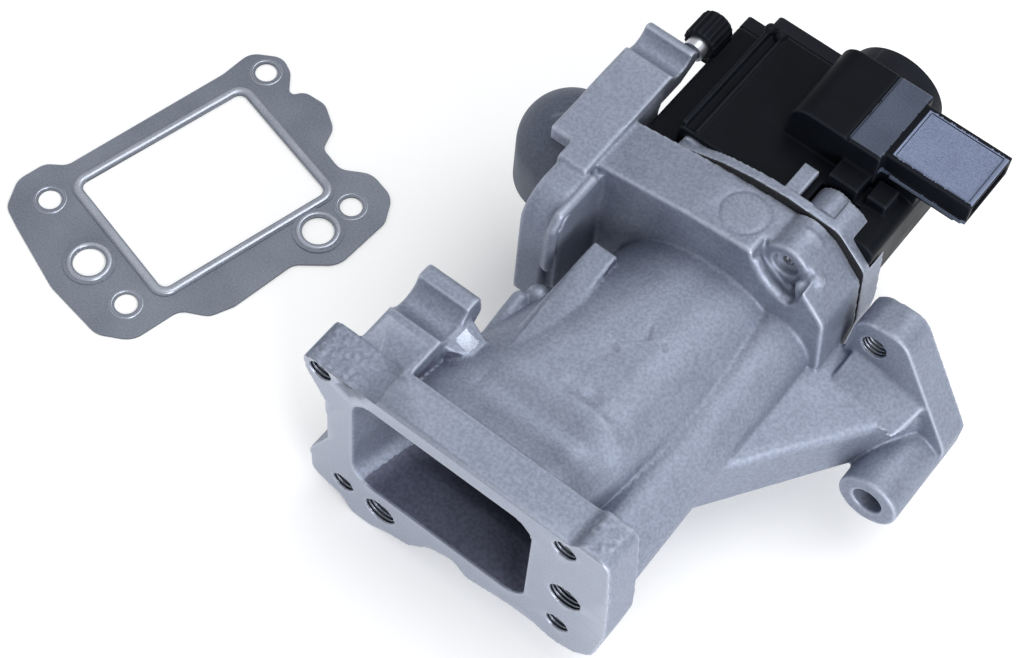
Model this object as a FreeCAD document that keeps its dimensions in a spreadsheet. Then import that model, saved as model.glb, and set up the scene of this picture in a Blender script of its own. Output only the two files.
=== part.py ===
import FreeCAD, Part
import math
import os
import re

# EGR valve. Origin at the centre of the rectangular port, on the mating face of the flange.
# X runs along the flange, Y into the body, Z up. Millimetres.

doc = FreeCAD.newDocument("egr_valve")
sheet = doc.addObject("Spreadsheet::Sheet", "Sizes")
V = FreeCAD.Vector
# The driving sizes
values = {
    # Casting
    "flange_y": 15.0,  # flange thickness
    "port_w": 68.0,  # port width
    "port_h": 52.0,  # port height
    "port_r": 8.0,  # port corner radius
    "duct_w": 72.0,  # duct width at the flange
    "duct_h": 60.0,  # duct height at the flange
    "duct_r": 34.0,  # duct radius at the collar
    "bore_r": 28.0,  # duct bore radius at the seat
    "axis_x": 24.5,  # valve axis, X
    "axis_z": -5.5,  # valve axis, Z
    "collar_y": 105.0,  # front of the collar
    "seam_y": 126.0,  # joint face of the collar
    "seat_y": 97.0,  # valve seat face
    "seat_r": 20.0,  # seat pocket radius
    "throat_r": 17.0,  # seat throat radius
    "screw_hole_r": 4.0,  # small flange hole radius
    "large_hole_r": 5.7,  # large flange hole radius
    "branch_y": 129.0,  # branch flange face
    "branch_t": 12.5,  # branch flange thickness
    "branch_x": 85.0,  # branch port centre, X
    "branch_z": -5.0,  # branch port centre, Z
    "branch_r": 12.0,  # branch port radius
    "branch_way_r": 9.0,  # branch passage radius
    "branch_core_r": 5.2,  # cored front of the branch holes, radius
    "branch_hole_r": 4.25,  # branch flange hole radius
    "chamber_a": 107.0,  # gas chamber front
    "chamber_b": 120.0,  # gas chamber back
    "elbow_y": 119.0,  # gas inlet centre, Y
    "elbow_z": 18.0,  # gas inlet centre, Z
    "elbow_r": 18.0,  # gas pipe outer radius
    "spigot_r": 14.0,  # gas pipe spigot radius
    "inlet_r": 11.0,  # gas inlet radius
    "elbow_t": 2.5,  # gas pipe wall
    "elbow_x": -41.0,  # vertical leg of the gas pipe, X
    "elbow_end": 0.0,  # lower end of the gas pipe, Z
    # Valve
    "stem_r": 3.0,  # stem radius
    "run_gap": 0.04,  # running gap, radial
    "lift": 9.0,  # valve lift
    "disc_r": 19.4,  # valve disc radius
    "pin_y": 161.0,  # cross pin, Y, valve shut
    "pin_r": 1.5,  # cross pin radius
    "sleeve_r": 8.45,  # cam sleeve outer radius
    "sleeve_bore_r": 5.2,  # cam sleeve bore radius
    "sleeve_a": 131.0,  # cam sleeve front
    "sleeve_b": 168.0,  # cam sleeve back
    "cam_lead": 36.0,  # cam lead per turn
    "bearing_r": 12.0,  # output bearing radius
    "slot_w": 4.8,  # cam slot width along the axis
    # Gears
    "module": 1.0,  # gear module
    "motor_x": 30.0,  # motor axis, X
    "motor_z": 27.5,  # motor axis, Z
    "teeth_motor": 10,  # motor pinion teeth
    "teeth_large": 36,  # intermediate gear, large teeth
    "teeth_small": 12,  # intermediate gear, small teeth
    "teeth_out": 50,  # output gear teeth
    "gear_a": 137.5,  # output gear front
    "gear_t": 5.0,  # gear width
    "gear_b": 143.5,  # large intermediate gear front
    # Actuator
    "sheet_t": 0.5,  # base gasket thickness
    "plate_t": 3.5,  # base plate thickness
    "register_t": 4.0,  # height of the register on the base plate
    "rear_y": 179.5,  # back of the gear housing
    "seal_t": 0.6,  # rear seal thickness
    "lid_t": 4.9,  # rear cover thickness
    "wall": 2.5,  # gear housing wall
    "motor_r": 14.4,  # motor case radius
    "shaft_r": 1.5,  # motor shaft radius
    "core_r": 11.2,  # rotor core radius
    "bush_r": 3.5,  # motor bush radius
    "motor_a": 152.0,  # motor case front
    "motor_b": 184.0,  # motor case back
    "cap_r": 17.0,  # motor cap radius
    "cap_b": 198.0,  # motor cap back
    "block_z": 60.0,  # top of the label block
    "block_a": 149.0,  # label block front
    "block_b": 179.5,  # label block back
    "plug_x": 79.0,  # mouth of the connector
    "plug_a": 152.0,  # connector side, Y
    "plug_w": 24.0,  # connector width
    "plug_z": 51.0,  # underside of the connector
    "gasket_t": 1.0,  # gasket thickness
    "floor_z": -52.6,  # lowest point
}


def fill(name, value):
    """One row of the sheet: the size's name, its number and its alias."""
    row = len(rows) + 1
    rows.append(name)
    sheet.set("A%d" % row, name)
    sheet.set("B%d" % row, str(value))
    sheet.setAlias("B%d" % row, name)


rows = []
values["plate_y"] = values["seam_y"] + values["sheet_t"]
values["rim_y"] = values["plate_y"] + values["plate_t"]
values["deck_y"] = values["rim_y"] + values["register_t"]
values["cover_b"] = values["rear_y"] + values["seal_t"] + values["lid_t"]
for name, value in values.items():
    fill(name, value)
doc.recompute()

WORD = re.compile(r"[a-z][a-z_0-9]*")


def bind(ob, prop, text):
    """A number is set, a text of sheet names is bound."""
    if isinstance(text, str):
        ob.setExpression(prop, WORD.sub(lambda m: "Sizes." + m.group(0), text))
    else:
        ob.setExpression(prop, repr(float(text)))


def place(ob, x, y, z):
    bind(ob, "Placement.Base.x", x)
    bind(ob, "Placement.Base.y", y)
    bind(ob, "Placement.Base.z", z)


TURN = {
    "x": FreeCAD.Rotation(V(0, 1, 0), 90),
    "y": FreeCAD.Rotation(V(1, 0, 0), -90),
    "z": FreeCAD.Rotation(),
}


def rod(name, radius, start, length, a, b, axis="y"):
    """Cylinder along an axis. start is on that axis, a and b are the other two."""
    ob = doc.addObject("Part::Cylinder", name)
    bind(ob, "Radius", radius)
    bind(ob, "Height", length)
    ob.Placement = FreeCAD.Placement(V(0, 0, 0), TURN[axis])
    if axis == "y":
        place(ob, a, start, b)
    elif axis == "x":
        place(ob, start, a, b)
    else:
        place(ob, a, b, start)
    return ob


def taper(name, r1, r2, start, length, a, b):
    ob = doc.addObject("Part::Cone", name)
    bind(ob, "Radius1", r1)
    bind(ob, "Radius2", r2)
    bind(ob, "Height", length)
    ob.Placement = FreeCAD.Placement(V(0, 0, 0), TURN["y"])
    place(ob, a, start, b)
    return ob


def box(name, x, y, z, dx, dy, dz):
    ob = doc.addObject("Part::Box", name)
    bind(ob, "Length", dx)
    bind(ob, "Width", dy)
    bind(ob, "Height", dz)
    place(ob, x, y, z)
    return ob


def ball(name, radius, x, y, z):
    ob = doc.addObject("Part::Sphere", name)
    bind(ob, "Radius", radius)
    place(ob, x, y, z)
    return ob


def join(name, parts):
    if len(parts) == 1:
        return parts[0]
    ob = doc.addObject("Part::MultiFuse", name)
    ob.Shapes = parts
    return ob


def cut(name, base, tools):
    ob = doc.addObject("Part::Cut", name)
    ob.Base = base
    ob.Tool = join(name + "_tools", tools)
    return ob


def corners(points):
    """Points with a corner radius each, as straight and round segments."""
    runs = []
    count = len(points)
    for i in range(count):
        here = V(points[i][0], points[i][1], 0)
        before = V(points[i - 1][0], points[i - 1][1], 0) - here
        after = V(points[(i + 1) % count][0], points[(i + 1) % count][1], 0) - here
        radius = points[i][2] if len(points[i]) > 2 else 0
        if radius <= 0 or before.getAngle(after) > 3.12:
            runs.append((here, None, here))
            continue
        half = before.getAngle(after) / 2
        reach = min(radius / math.tan(half), 0.48 * before.Length, 0.48 * after.Length)
        radius = reach * math.tan(half)
        one = here + before.normalize() * reach
        two = here + after.normalize() * reach
        middle = (before + after).normalize()
        centre = here + middle * (radius / math.sin(half))
        runs.append((one, centre - middle * radius, two))
    return runs


def draw(name, points, spot, turn):
    """A closed sketch of straight lines and round corners."""
    sketch = doc.addObject("Sketcher::SketchObject", name)
    runs = corners(points)
    for i in range(len(runs)):
        one, bulge, two = runs[i]
        if bulge is not None:
            sketch.addGeometry(Part.Arc(one, bulge, two))
        after = runs[(i + 1) % len(runs)][0]
        if (after - two).Length > 1e-6:
            sketch.addGeometry(Part.LineSegment(two, after))
    sketch.Placement = FreeCAD.Placement(V(0, 0, 0), turn)
    place(sketch, *spot)
    return sketch


ACROSS = FreeCAD.Rotation(V(1, 0, 0), 90)
ALONG = FreeCAD.Rotation(V(0, 0, 1), 90).multiply(FreeCAD.Rotation(V(1, 0, 0), 90))


def slab(name, y, thickness, points, x=0, z=0):
    """Outline in X and Z, made thick along Y."""
    sketch = draw(name + "_outline", points, (x, y, z), ACROSS)
    ob = doc.addObject("Part::Extrusion", name)
    ob.Base = sketch
    ob.DirMode = "Custom"
    ob.Dir = V(0, 1, 0)
    bind(ob, "LengthFwd", thickness)
    ob.Solid = True
    return ob


def side(name, x, thickness, points):
    """Outline in Y and Z, made thick along X."""
    sketch = draw(name + "_outline", points, (x, 0, 0), ALONG)
    ob = doc.addObject("Part::Extrusion", name)
    ob.Base = sketch
    ob.DirMode = "Custom"
    ob.Dir = V(1, 0, 0)
    bind(ob, "LengthFwd", thickness)
    ob.Solid = True
    return ob


def rounded(w, h, r, cx=0, cz=0):
    return [
        (cx - w / 2, cz - h / 2, r),
        (cx + w / 2, cz - h / 2, r),
        (cx + w / 2, cz + h / 2, r),
        (cx - w / 2, cz + h / 2, r),
    ]


def circle(radius):
    """A round outline, as four corners that all but meet."""
    return rounded(2 * radius, 2 * radius, radius - 0.01)


def blend(name, first, second):
    ob = doc.addObject("Part::Loft", name)
    ob.Sections = [first, second]
    ob.Solid = True
    ob.Ruled = False
    return ob


parts = []


def part(ob, label):
    ob.Label = label
    parts.append(ob)
    return ob


# Casting: flange, duct, collar, branch and clip brackets
flange_points = [
    (-53.0, 33.0, 5), (-51.5, 24.5, 5), (-44.2, 12.0, 8), (-43.6, -12.0, 8), (-51.0, -28.0, 6),
    (-50.3, -41.5, 5), (-38.0, -46.0, 4), (-34.0, -52.6, 4), (-26.5, -52.6, 4), (-19.0, -48.6, 6),
    (-10.5, -46.6, 4), (-2.0, -37.0, 4), (7.0, -33.2, 4), (12.5, -38.8, 3), (27.0, -35.4, 8),
    (38.0, -34.8, 6), (47.0, -37.4, 6), (55.5, -34.6, 6), (61.0, -28.0, 6), (63.8, -10.0, 10),
    (62.5, 14.0, 10), (60.5, 35.5, 4), (50.0, 36.0, 3), (47.0, 33.0, 2), (-20.0, 33.0, 0.5),
]
flange = slab("flange", 0, "flange_y", flange_points)
half_w = values["duct_w"] / 2
half_h = values["duct_h"] / 2
duct_front = draw("duct_front", [
    (-half_w, -half_h, 12), (half_w, -half_h, 12), (half_w, half_h, 12), (-half_w, half_h, 24),
], (2.0, "flange_y-5", 0), ACROSS)
duct_back = draw("duct_back", circle(values["duct_r"]), ("axis_x", "collar_y+2", "axis_z"), ACROSS)
duct = blend("duct", duct_front, duct_back)
collar_points = [
    (-23.5, 40.0, 0.5), (-21.0, 40.2, 1), (9.0, 45.0, 20), (31.0, 47.0, 6), (50.0, 47.0, 6),
    (62.5, 34.0, 6), (65.0, 12.0, 8), (62.0, -28.0, 10), (55.5, -49.0, 7), (40.0, -49.0, 6),
    (36.0, -42.0, 5), (14.0, -42.0, 5), (10.0, -49.0, 6), (-5.0, -49.0, 7), (-14.0, -32.0, 8),
    (-23.5, -12.0, 3),
]
collar = slab("collar", "collar_y", "seam_y-collar_y", collar_points)
left_block = side("left_block", -33.0, 10.0, [
    (80.0, -12.0, 4), (80.0, 40.0, 12), (140.0, 40.0, 1), (140.0, -14.0, 4), (124.0, -28.0, 6),
    (98.0, -28.0, 6),
])
wall_pad = side("wall_pad", -24.0, 4.0, [
    (84.0, -8.0, 4), (84.0, 37.0, 9), (118.0, 37.0, 2), (118.0, -8.0, 4),
])
bracket_a = side("bracket_a", -42.3, 19.5, [
    (13.0, 13.0), (13.0, 33.0), (27.1, 33.0, 1), (48.1, 34.6, 3), (48.6, 25.0, 3), (41.6, 19.0, 4),
    (27.6, 13.0, 2),
])
cradle_a = rod("cradle_a", 6.8, -43.3, 21.5, 34.9, 35.6, "x")
bracket_b = side("bracket_b", -42.0, 18.5, [
    (99.0, 35.0, 1), (99.0, 41.0, 1), (159.5, 42.5, 3), (159.5, 36.0, 3), (151.5, 32.0, 3),
    (140.0, 32.0, 2), (137.0, 35.0, 1),
])
cradle_b = rod("cradle_b", 5.2, -43.0, 20.0, 150.5, 43.6, "x")
flank_rib = box("flank_rib", -11.0, 50.0, -4.0, 9.0, 40.0, 30.0)
tube = doc.addObject("Part::Cylinder", "tube")
bind(tube, "Radius", 13.0)
bind(tube, "Height", 94.0)
tube.Placement = FreeCAD.Placement(V(48.1, 13.0, -2.4), FreeCAD.Rotation(V(0, 0, 1), V(0.4, 90.0, 13.2)))
screw_boss = rod("screw_boss", 7.0, 113.0, "seam_y-113", 43.0, 41.5)
web = box("web", 36.0, 113.0, 20.0, 14.0, "seam_y-113", 16.0)
branch_front = draw("branch_front", [
    (30.0, -20.0, 4), (58.0, -20.0, 4), (58.0, 8.0, 4), (30.0, 8.0, 4),
], (0, 55.0, 0), ACROSS)
branch_back = draw("branch_back", [
    (58.0, -19.5, 6), (101.0, -19.0, 6), (99.0, 3.5, 6), (60.0, 12.0, 6),
], (0, 118.0, 0), ACROSS)
branch = blend("branch", branch_front, branch_back)
branch_points = [
    (68.5, 31.0, 7), (85.0, 33.5, 8), (99.5, 9.0, 14), (109.5, -8.0, 8), (109.0, -24.5, 8), (92.0, -30.5, 9),
    (66.0, -34.0, 7), (66.0, -10.0, 3),
]
branch_flange = slab("branch_flange", "branch_y-branch_t", "branch_t", branch_points)
branch_boss = rod("branch_boss", 10.5, 91.5, "branch_y-91.5", 98.8, -17.0)
solid_casting = join("solid_casting", [
    flange, duct, collar, left_block, wall_pad, bracket_a, bracket_b, flank_rib, tube, screw_boss, web,
    branch, branch_flange, branch_boss,
])

port_front = draw(
    "port_front", rounded(values["port_w"], values["port_h"], values["port_r"]), (0, -1.0, 0), ACROSS,
)
port_inside = [(-30.0, -25.0, 10), (33.0, -25.0, 10), (33.0, 24.0, 10), (-30.0, 24.0, 20)]
port_middle = draw("port_middle", port_inside, (0, "flange_y+1", 0), ACROSS)
port_back = draw("port_back", circle(values["bore_r"]), ("axis_x", "seat_y", "axis_z"), ACROSS)
hollows = [
    blend("port_mouth", port_front, port_middle),
    blend("port", port_middle, port_back),
    cradle_a,
    cradle_b,
    rod("seat_pocket", "seat_r", "seat_y-0.5", "6.5", "axis_x", "axis_z"),
    rod("throat", "throat_r", "seat_y", "chamber_a-seat_y+1", "axis_x", "axis_z"),
    rod("chamber", "throat_r+2", "chamber_a", "chamber_b-chamber_a", "axis_x", "axis_z"),
    box("gas_way", -25.0, "chamber_a", -4.0, 50.0, "chamber_b-chamber_a", 32.0),
    rod("inlet_bore", "inlet_r", -34.0, 11.0, "elbow_y", "elbow_z", "x"),
    rod("inlet_pocket", "spigot_r", -34.0, 5.0, "elbow_y", "elbow_z", "x"),
    rod("elbow_room", "elbow_r+0.4", -62.0, 29.0, "elbow_y", "elbow_z", "x"),
    rod("bush_bore", 5.0, 118.0, 10.0, "axis_x", "axis_z"),
    rod("branch_port", "branch_r", "branch_y-branch_t", "branch_t+2", "branch_x", "branch_z"),
]
way_a = draw("way_a", circle(values["branch_way_r"] - 0.5), (41.0, 46.0, -6.0), ACROSS)
way_b = draw(
    "way_b", circle(values["branch_way_r"]), ("branch_x-2", "branch_y-branch_t+0.2", "branch_z"), ACROSS,
)
hollows.append(blend("branch_way", way_a, way_b))
flange_holes = [
    ("hole_a", 45.3, 27.0), ("hole_c", 47.0, -23.2), ("hole_e", -37.4, -35.8), ("hole_f", -46.0, 28.1),
]
for name, x, z in flange_holes:
    hollows.append(rod(name, "screw_hole_r", -1.0, "flange_y+2", x, z))
hollows.append(rod("hole_b", "large_hole_r", -1.0, "flange_y+1", 48.1, -2.2))
hollows.append(rod("hole_b_pilot", 4.2, "flange_y-0.1", 24.0, 48.1, -2.2))
hollows.append(rod("hole_d", "large_hole_r", -1.0, "flange_y+2", -22.3, -37.3))
branch_holes = [("branch_hole_a", 76.4, 21.6), ("branch_hole_b", 98.8, -17.0), ("branch_hole_c", 74.5, -24.7)]
for name, x, z in branch_holes:
    hollows.append(rod(name, "branch_hole_r", "branch_y-branch_t", "branch_t+2", x, z))
hollows.append(rod("branch_hole_b_core", "branch_core_r", 90.0, "branch_y-branch_t-90", 98.8, -17.0))
housing_fixings = [("fix_a", 43.0, 41.5), ("fix_b", 3.0, -41.0), ("fix_c", 47.0, -41.0)]
for name, x, z in housing_fixings[1:]:
    hollows.append(rod(name + "_thread", 2.5, 112.0, 20.0, x, z))
hollows.append(rod("fix_a_recess", 4.7, 112.0, 5.5, 43.0, 41.5))
hollows.append(rod("fix_a_way", 2.8, 117.0, 10.0, 43.0, 41.5))
plate_fixings = [
    ("plate_fix_a", 53.0, 21.0), ("plate_fix_b", 39.5, -25.5), ("plate_fix_c", -7.0, -20.0),
    ("plate_fix_d", -3.0, 33.5),
]
for name, x, z in plate_fixings:
    hollows.append(rod(name + "_thread", 2.0, 121.5, 8.0, x, z))
dowel_spots = [("dowel_a", -17.0, 10.0), ("dowel_b", 57.0, 6.0)]
for name, x, z in dowel_spots:
    hollows.append(rod(name + "_hole", 2.02, 122.0, 8.0, x, z))
part(cut("casting", solid_casting, hollows), "valve_housing")

# Gas inlet elbow
pipe = join("pipe_outside", [
    rod("pipe_run", "elbow_r", "elbow_x", "-33-elbow_x", "elbow_y", "elbow_z", "x"),
    ball("pipe_bend", "elbow_r", "elbow_x", "elbow_y", "elbow_z"),
    rod("pipe_leg", "elbow_r", "elbow_end", "elbow_z-elbow_end", "elbow_x", "elbow_y", "z"),
])
trimmed = cut("pipe_trimmed", pipe, [box("pipe_trim", -33.0, 90.0, -40.0, 30.0, 60.0, 90.0)])
spigot = rod("pipe_spigot", "spigot_r-0.05", -35.0, 5.9, "elbow_y", "elbow_z", "x")
pipe_ways = [
    cut("pipe_room", join("pipe_inside", [
        ball("pipe_bend_way", "elbow_r-elbow_t", "elbow_x", "elbow_y", "elbow_z"),
        rod("pipe_leg_way", "elbow_r-elbow_t", "elbow_end-1", "elbow_z-elbow_end+1", "elbow_x",
            "elbow_y", "z"),
    ]), [box("pipe_wall", -35.6, 90.0, -40.0, 30.0, 60.0, 90.0)]),
    rod("spigot_way", "inlet_r", -40.0, 13.0, "elbow_y", "elbow_z", "x"),
]
part(cut("elbow", join("elbow_body", [trimmed, spigot]), pipe_ways), "inlet_elbow")


def ring(name, outer, inner, start, length, a, b, axis="y"):
    longer = str(length) + "+2" if isinstance(length, str) else length + 2
    earlier = str(start) + "-1" if isinstance(start, str) else start - 1
    base = rod(name + "_body", outer, start, length, a, b, axis)
    return cut(name, base, [rod(name + "_bore", inner, earlier, longer, a, b, axis)])


AX = "axis_x"
AZ = "axis_z"
part(ring("seat_ring", "seat_r-0.05", "throat_r", "seat_y", 5.9, AX, AZ), "valve_seat")
part(ring("bush", 4.95, "stem_r+run_gap", 118.5, 8.4, AX, AZ), "stem_bush")
part(ring("lip_seal", 6.4, "stem_r+run_gap", 127.0, 2.9, AX, AZ), "stem_seal")

# Stem, disc and cross pin
stem = join("stem_body", [
    rod("stem_rod", "stem_r", 92.0, 93.5, AX, AZ),
    rod("stem_head", 5.5, 91.0, 2.4, AX, AZ),
])
stem_cuts = [
    rod("pin_bore", "pin_r+0.02", "axis_x-5", 10.0, "pin_y", AZ, "x"),
    ring("clip_groove", 4.0, 2.4, 183.0, 1.1, AX, AZ),
]
part(cut("stem", stem, stem_cuts), "valve_stem")
disc = join("disc_body", [
    rod("disc_plate", "disc_r", 93.5, "seat_y-93.5", AX, AZ),
    taper("disc_neck", 15.0, 6.0, "seat_y-0.1", 5.0, AX, AZ),
])
part(cut("disc", disc, [rod("disc_bore", "stem_r+0.03", 90.0, 15.0, AX, AZ)]), "valve_disc")
part(rod("pin", "pin_r", "axis_x-11", 22.0, "pin_y", AZ, "x"), "cross_pin")

# Cam sleeve with two helical slots of constant lead
sleeve = ring("sleeve_tube", "sleeve_r", "sleeve_bore_r", "sleeve_a", "sleeve_b-sleeve_a", AX, AZ)
slots = []
end_run = 2.6
for index in (0, 1):
    spine = doc.addObject("Part::Helix", "slot_path_%d" % index)
    bind(spine, "Pitch", "cam_lead")
    bind(spine, "Height", "lift+%s" % (2 * end_run))
    bind(spine, "Radius", "sleeve_bore_r+1.5")
    spine.LocalCoord = 0
    cutter = doc.addObject("Sketcher::SketchObject", "slot_outline_%d" % index)
    inner, outer, half = 4.0, 10.5, values["slot_w"] / 2
    frame = [V(inner, -half, 0), V(outer, -half, 0), V(outer, half, 0), V(inner, half, 0)]
    for i in range(4):
        cutter.addGeometry(Part.LineSegment(frame[i], frame[(i + 1) % 4]))
    cutter.Placement = FreeCAD.Placement(V(0, 0, 0), ACROSS)
    sweep = doc.addObject("Part::Sweep", "slot_sweep_%d" % index)
    sweep.Sections = [cutter]
    sweep.Spine = spine
    sweep.Solid = True
    sweep.Frenet = True
    spun = FreeCAD.Rotation(V(0, 1, 0), 180 * index)
    back = (values["lift"] + end_run) / values["cam_lead"] * 360
    start = FreeCAD.Rotation(V(0, 1, 0), -back)
    holder = doc.addObject("Part::Compound", "slot_%d" % index)
    holder.Links = [sweep]
    holder.Placement = FreeCAD.Placement(V(0, 0, 0), spun.multiply(start).multiply(TURN["y"]))
    place(holder, AX, "pin_y-lift-%s" % end_run, AZ)
    slots.append(holder)
part(cut("sleeve", sleeve, slots), "cam_sleeve")


def tooth_points(teeth, module, slack):
    """Involute teeth as points, thinned by slack at the pitch circle."""
    pitch = teeth * module / 2
    base = pitch * math.cos(math.radians(20))
    tip = pitch + module * 0.95
    root = pitch - module * 1.2
    start = max(base, root)
    half = math.pi / (2 * teeth) - slack / (2 * pitch)
    flat = math.tan(math.radians(20)) - math.radians(20)

    def angle(radius):
        turn = math.acos(min(1.0, base / radius))
        return half + flat - (math.tan(turn) - turn)

    rows = []
    if root < start:
        rows.append((root, angle(start)))
    for share in (0.0, 0.35, 0.7, 1.0):
        radius = start + (tip - start) * share
        rows.append((radius, angle(radius)))
    points = []
    for i in range(teeth):
        middle = 2 * math.pi * i / teeth
        for radius, spread in rows:
            points.append((radius, middle - spread))
        for radius, spread in reversed(rows):
            points.append((radius, middle + spread))
    return points


def gear(name, teeth, start, width, x, z, turn=0.0, slack=0.16):
    """Turn is in radians, from X towards Z."""
    points = []
    for radius, angle in tooth_points(int(values[teeth]), values["module"], slack):
        points.append((radius * math.cos(angle + turn), radius * math.sin(angle + turn)))
    return slab(name, start, width, points, x, z)


# Centres of the train
motor = V(values["motor_x"], 0, values["motor_z"])
shaft = V(values["axis_x"], 0, values["axis_z"])
near = (values["teeth_motor"] + values["teeth_large"]) * values["module"] / 2
far = (values["teeth_small"] + values["teeth_out"]) * values["module"] / 2
apart = (motor - shaft).Length
along = (far * far - near * near + apart * apart) / (2 * apart)
off = math.sqrt(far * far - along * along)
way = (motor - shaft).normalize()
mid = shaft + way * along + V(-way.z, 0, way.x) * off
fill("mid_x", round(mid.x, 4))
fill("mid_z", round(mid.z, 4))
doc.recompute()
to_out = math.atan2(shaft.z - mid.z, shaft.x - mid.x)
to_motor = math.atan2(motor.z - mid.z, motor.x - mid.x)
step_small = 2 * math.pi / values["teeth_small"]
step_large = 2 * math.pi / values["teeth_large"]
# A tooth of the small gear points at the output gear, and a gap of the output gear points back.
turn_small = to_out
turn_out = to_out + math.pi + math.pi / values["teeth_out"]
turn_large = to_motor
turn_motor = to_motor + math.pi + math.pi / values["teeth_motor"]

large = gear("large_teeth", "teeth_large", "gear_b", "gear_t", "mid_x", "mid_z", turn_large)
small = gear("small_teeth", "teeth_small", "gear_a-0.3", "gear_b-gear_a+0.4", "mid_x", "mid_z", turn_small)
pair = join("gear_pair", [large, small, rod("gear_hub", 4.0, "gear_b+gear_t-0.1", 1.0, "mid_x", "mid_z")])
pair_cuts = [
    rod("gear_pair_bore", "2.0+run_gap", "gear_a-2", "gear_t+12", "mid_x", "mid_z"),
    ring("gear_web", 15.0, 6.5, "gear_b+gear_t-1.5", 3.0, "mid_x", "mid_z"),
]
part(cut("intermediate", pair, pair_cuts), "intermediate_gear")
wheel = gear("output_teeth", "teeth_out", "gear_a", "gear_t", AX, AZ, turn_out)
wheel_cuts = [
    rod("output_bore", "sleeve_r+0.05", "gear_a-1", "gear_t+2", AX, AZ),
    ring("output_web", 15.5, 11.5, "gear_a+gear_t-1.5", 3.0, AX, AZ),
]
part(cut("output", wheel, wheel_cuts), "output_gear")
pinion = gear("pinion_teeth", "teeth_motor", "gear_b-0.3", "gear_t+0.6", "motor_x", "motor_z", turn_motor)
pinion_bore = rod("pinion_bore", "shaft_r+0.02", 140.0, 12.0, "motor_x", "motor_z")
part(cut("pinion", pinion, [pinion_bore]), "motor_pinion")
part(rod("gear_axle", 2.0, 129.0, 22.8, "mid_x", "mid_z"), "gear_pin")
part(ring("bearing", "bearing_r", "sleeve_r+0.05", "rim_y", 6.5, AX, AZ), "output_bearing")

# Magnet on the output gear, read by the position board
magnet_ring = ring("magnet_ring", 23.0, 17.5, "gear_a+gear_t", 2.5, AX, AZ)
magnet_keep = slab("magnet_keep", "gear_a+gear_t-1", 6.0, [(0, 0), (9.0, -36.0), (36.0, -22.0)], AX, AZ)
magnet = doc.addObject("Part::Common", "magnet")
magnet.Base = magnet_ring
magnet.Tool = magnet_keep
part(magnet, "sensor_magnet")

# Guide cage: keeps the cross pin from turning
cage = join("cage_body", [
    rod("cage_tube", 12.6, 150.5, 20.5, AX, AZ),
    box("cage_web", -1.5, 168.6, -33.5, 41.0, 2.4, 42.0),
])
cage_cuts = [
    rod("cage_bore", 8.9, 149.5, 19.1, AX, AZ),
    rod("cage_way", "stem_r+0.3", 165.0, 8.0, AX, AZ),
    box("cage_slot", "axis_x-13", 149.5, "axis_z-1.6", 26.0, 15.0, 3.2),
]
part(cut("cage", cage, cage_cuts), "guide_cage")

# Return spring and its retainer
coil = doc.addObject("Part::Helix", "spring_path")
bind(coil, "Radius", 6.6)
bind(coil, "Pitch", 2.85)
bind(coil, "Height", 10.2)
coil.SegmentLength = 0.25
wire = doc.addObject("Sketcher::SketchObject", "spring_wire")
wire.addGeometry(Part.Circle(V(6.6, 0, 0), V(0, 0, 1), 0.6))
wire.Placement = FreeCAD.Placement(V(0, 0, 0), ACROSS)
spring = doc.addObject("Part::Sweep", "spring")
spring.Sections = [wire]
spring.Spine = coil
spring.Solid = True
spring.Frenet = True
spring_set = doc.addObject("Part::Compound", "spring_set")
spring_set.Links = [spring]
spring_set.Placement = FreeCAD.Placement(V(0, 0, 0), TURN["y"])
place(spring_set, AX, 171.62, AZ)
part(spring_set, "return_spring")
retainer = join("retainer_body", [
    rod("retainer_plate", 8.2, 182.45, 1.2 - 0.65, AX, AZ),
    rod("retainer_hub", 4.6, 180.2, 2.8, AX, AZ),
])
retainer_bore = rod("retainer_bore", "stem_r+0.03", 178.0, 6.0, AX, AZ)
part(cut("retainer", retainer, [retainer_bore]), "spring_retainer")
clip = ring("clip_ring", 4.6, 2.45, 183.05, 0.95, AX, AZ)
part(cut("clip", clip, [box("clip_gap", AX, 182.0, "axis_z-1.6", 6.0, 3.0, 3.2)]), "retainer_clip")

# Base plate of the actuator and its gasket
plate_points = [
    (-21.5, 21.7, 2), (-8.5, 21.7, 1), (-8.5, 40.0, 2), (9.0, 46.3, 10), (20.0, 48.6, 12),
    (32.0, 49.8, 8), (51.0, 49.0, 7), (62.5, 38.0, 6), (65.0, 12.0, 8), (62.0, -28.0, 10),
    (55.5, -49.0, 7), (40.0, -49.0, 6), (36.0, -42.0, 5), (14.0, -42.0, 5), (10.0, -49.0, 6),
    (-5.0, -49.0, 7), (-14.0, -32.0, 8), (-21.5, -14.0, 3),
]


def body_points(inset):
    return [
        (-21.0 + inset, -28.0, 6), (-21.0 + inset, 36.0 - inset, 1.5), (-10.5 + inset, 36.0 - inset, 0.5),
        (-10.5 + inset, 45.0 - inset, 2), (62.5 - inset, 45.0 - inset, 4),
        (60.5 - inset, 12.0 + inset * 0.3, 4), (52.0 - inset, -14.0, 6), (45.0 - inset, -36.0 + inset, 4),
        (-6.0, -36.0 + inset, 10),
    ]


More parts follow.
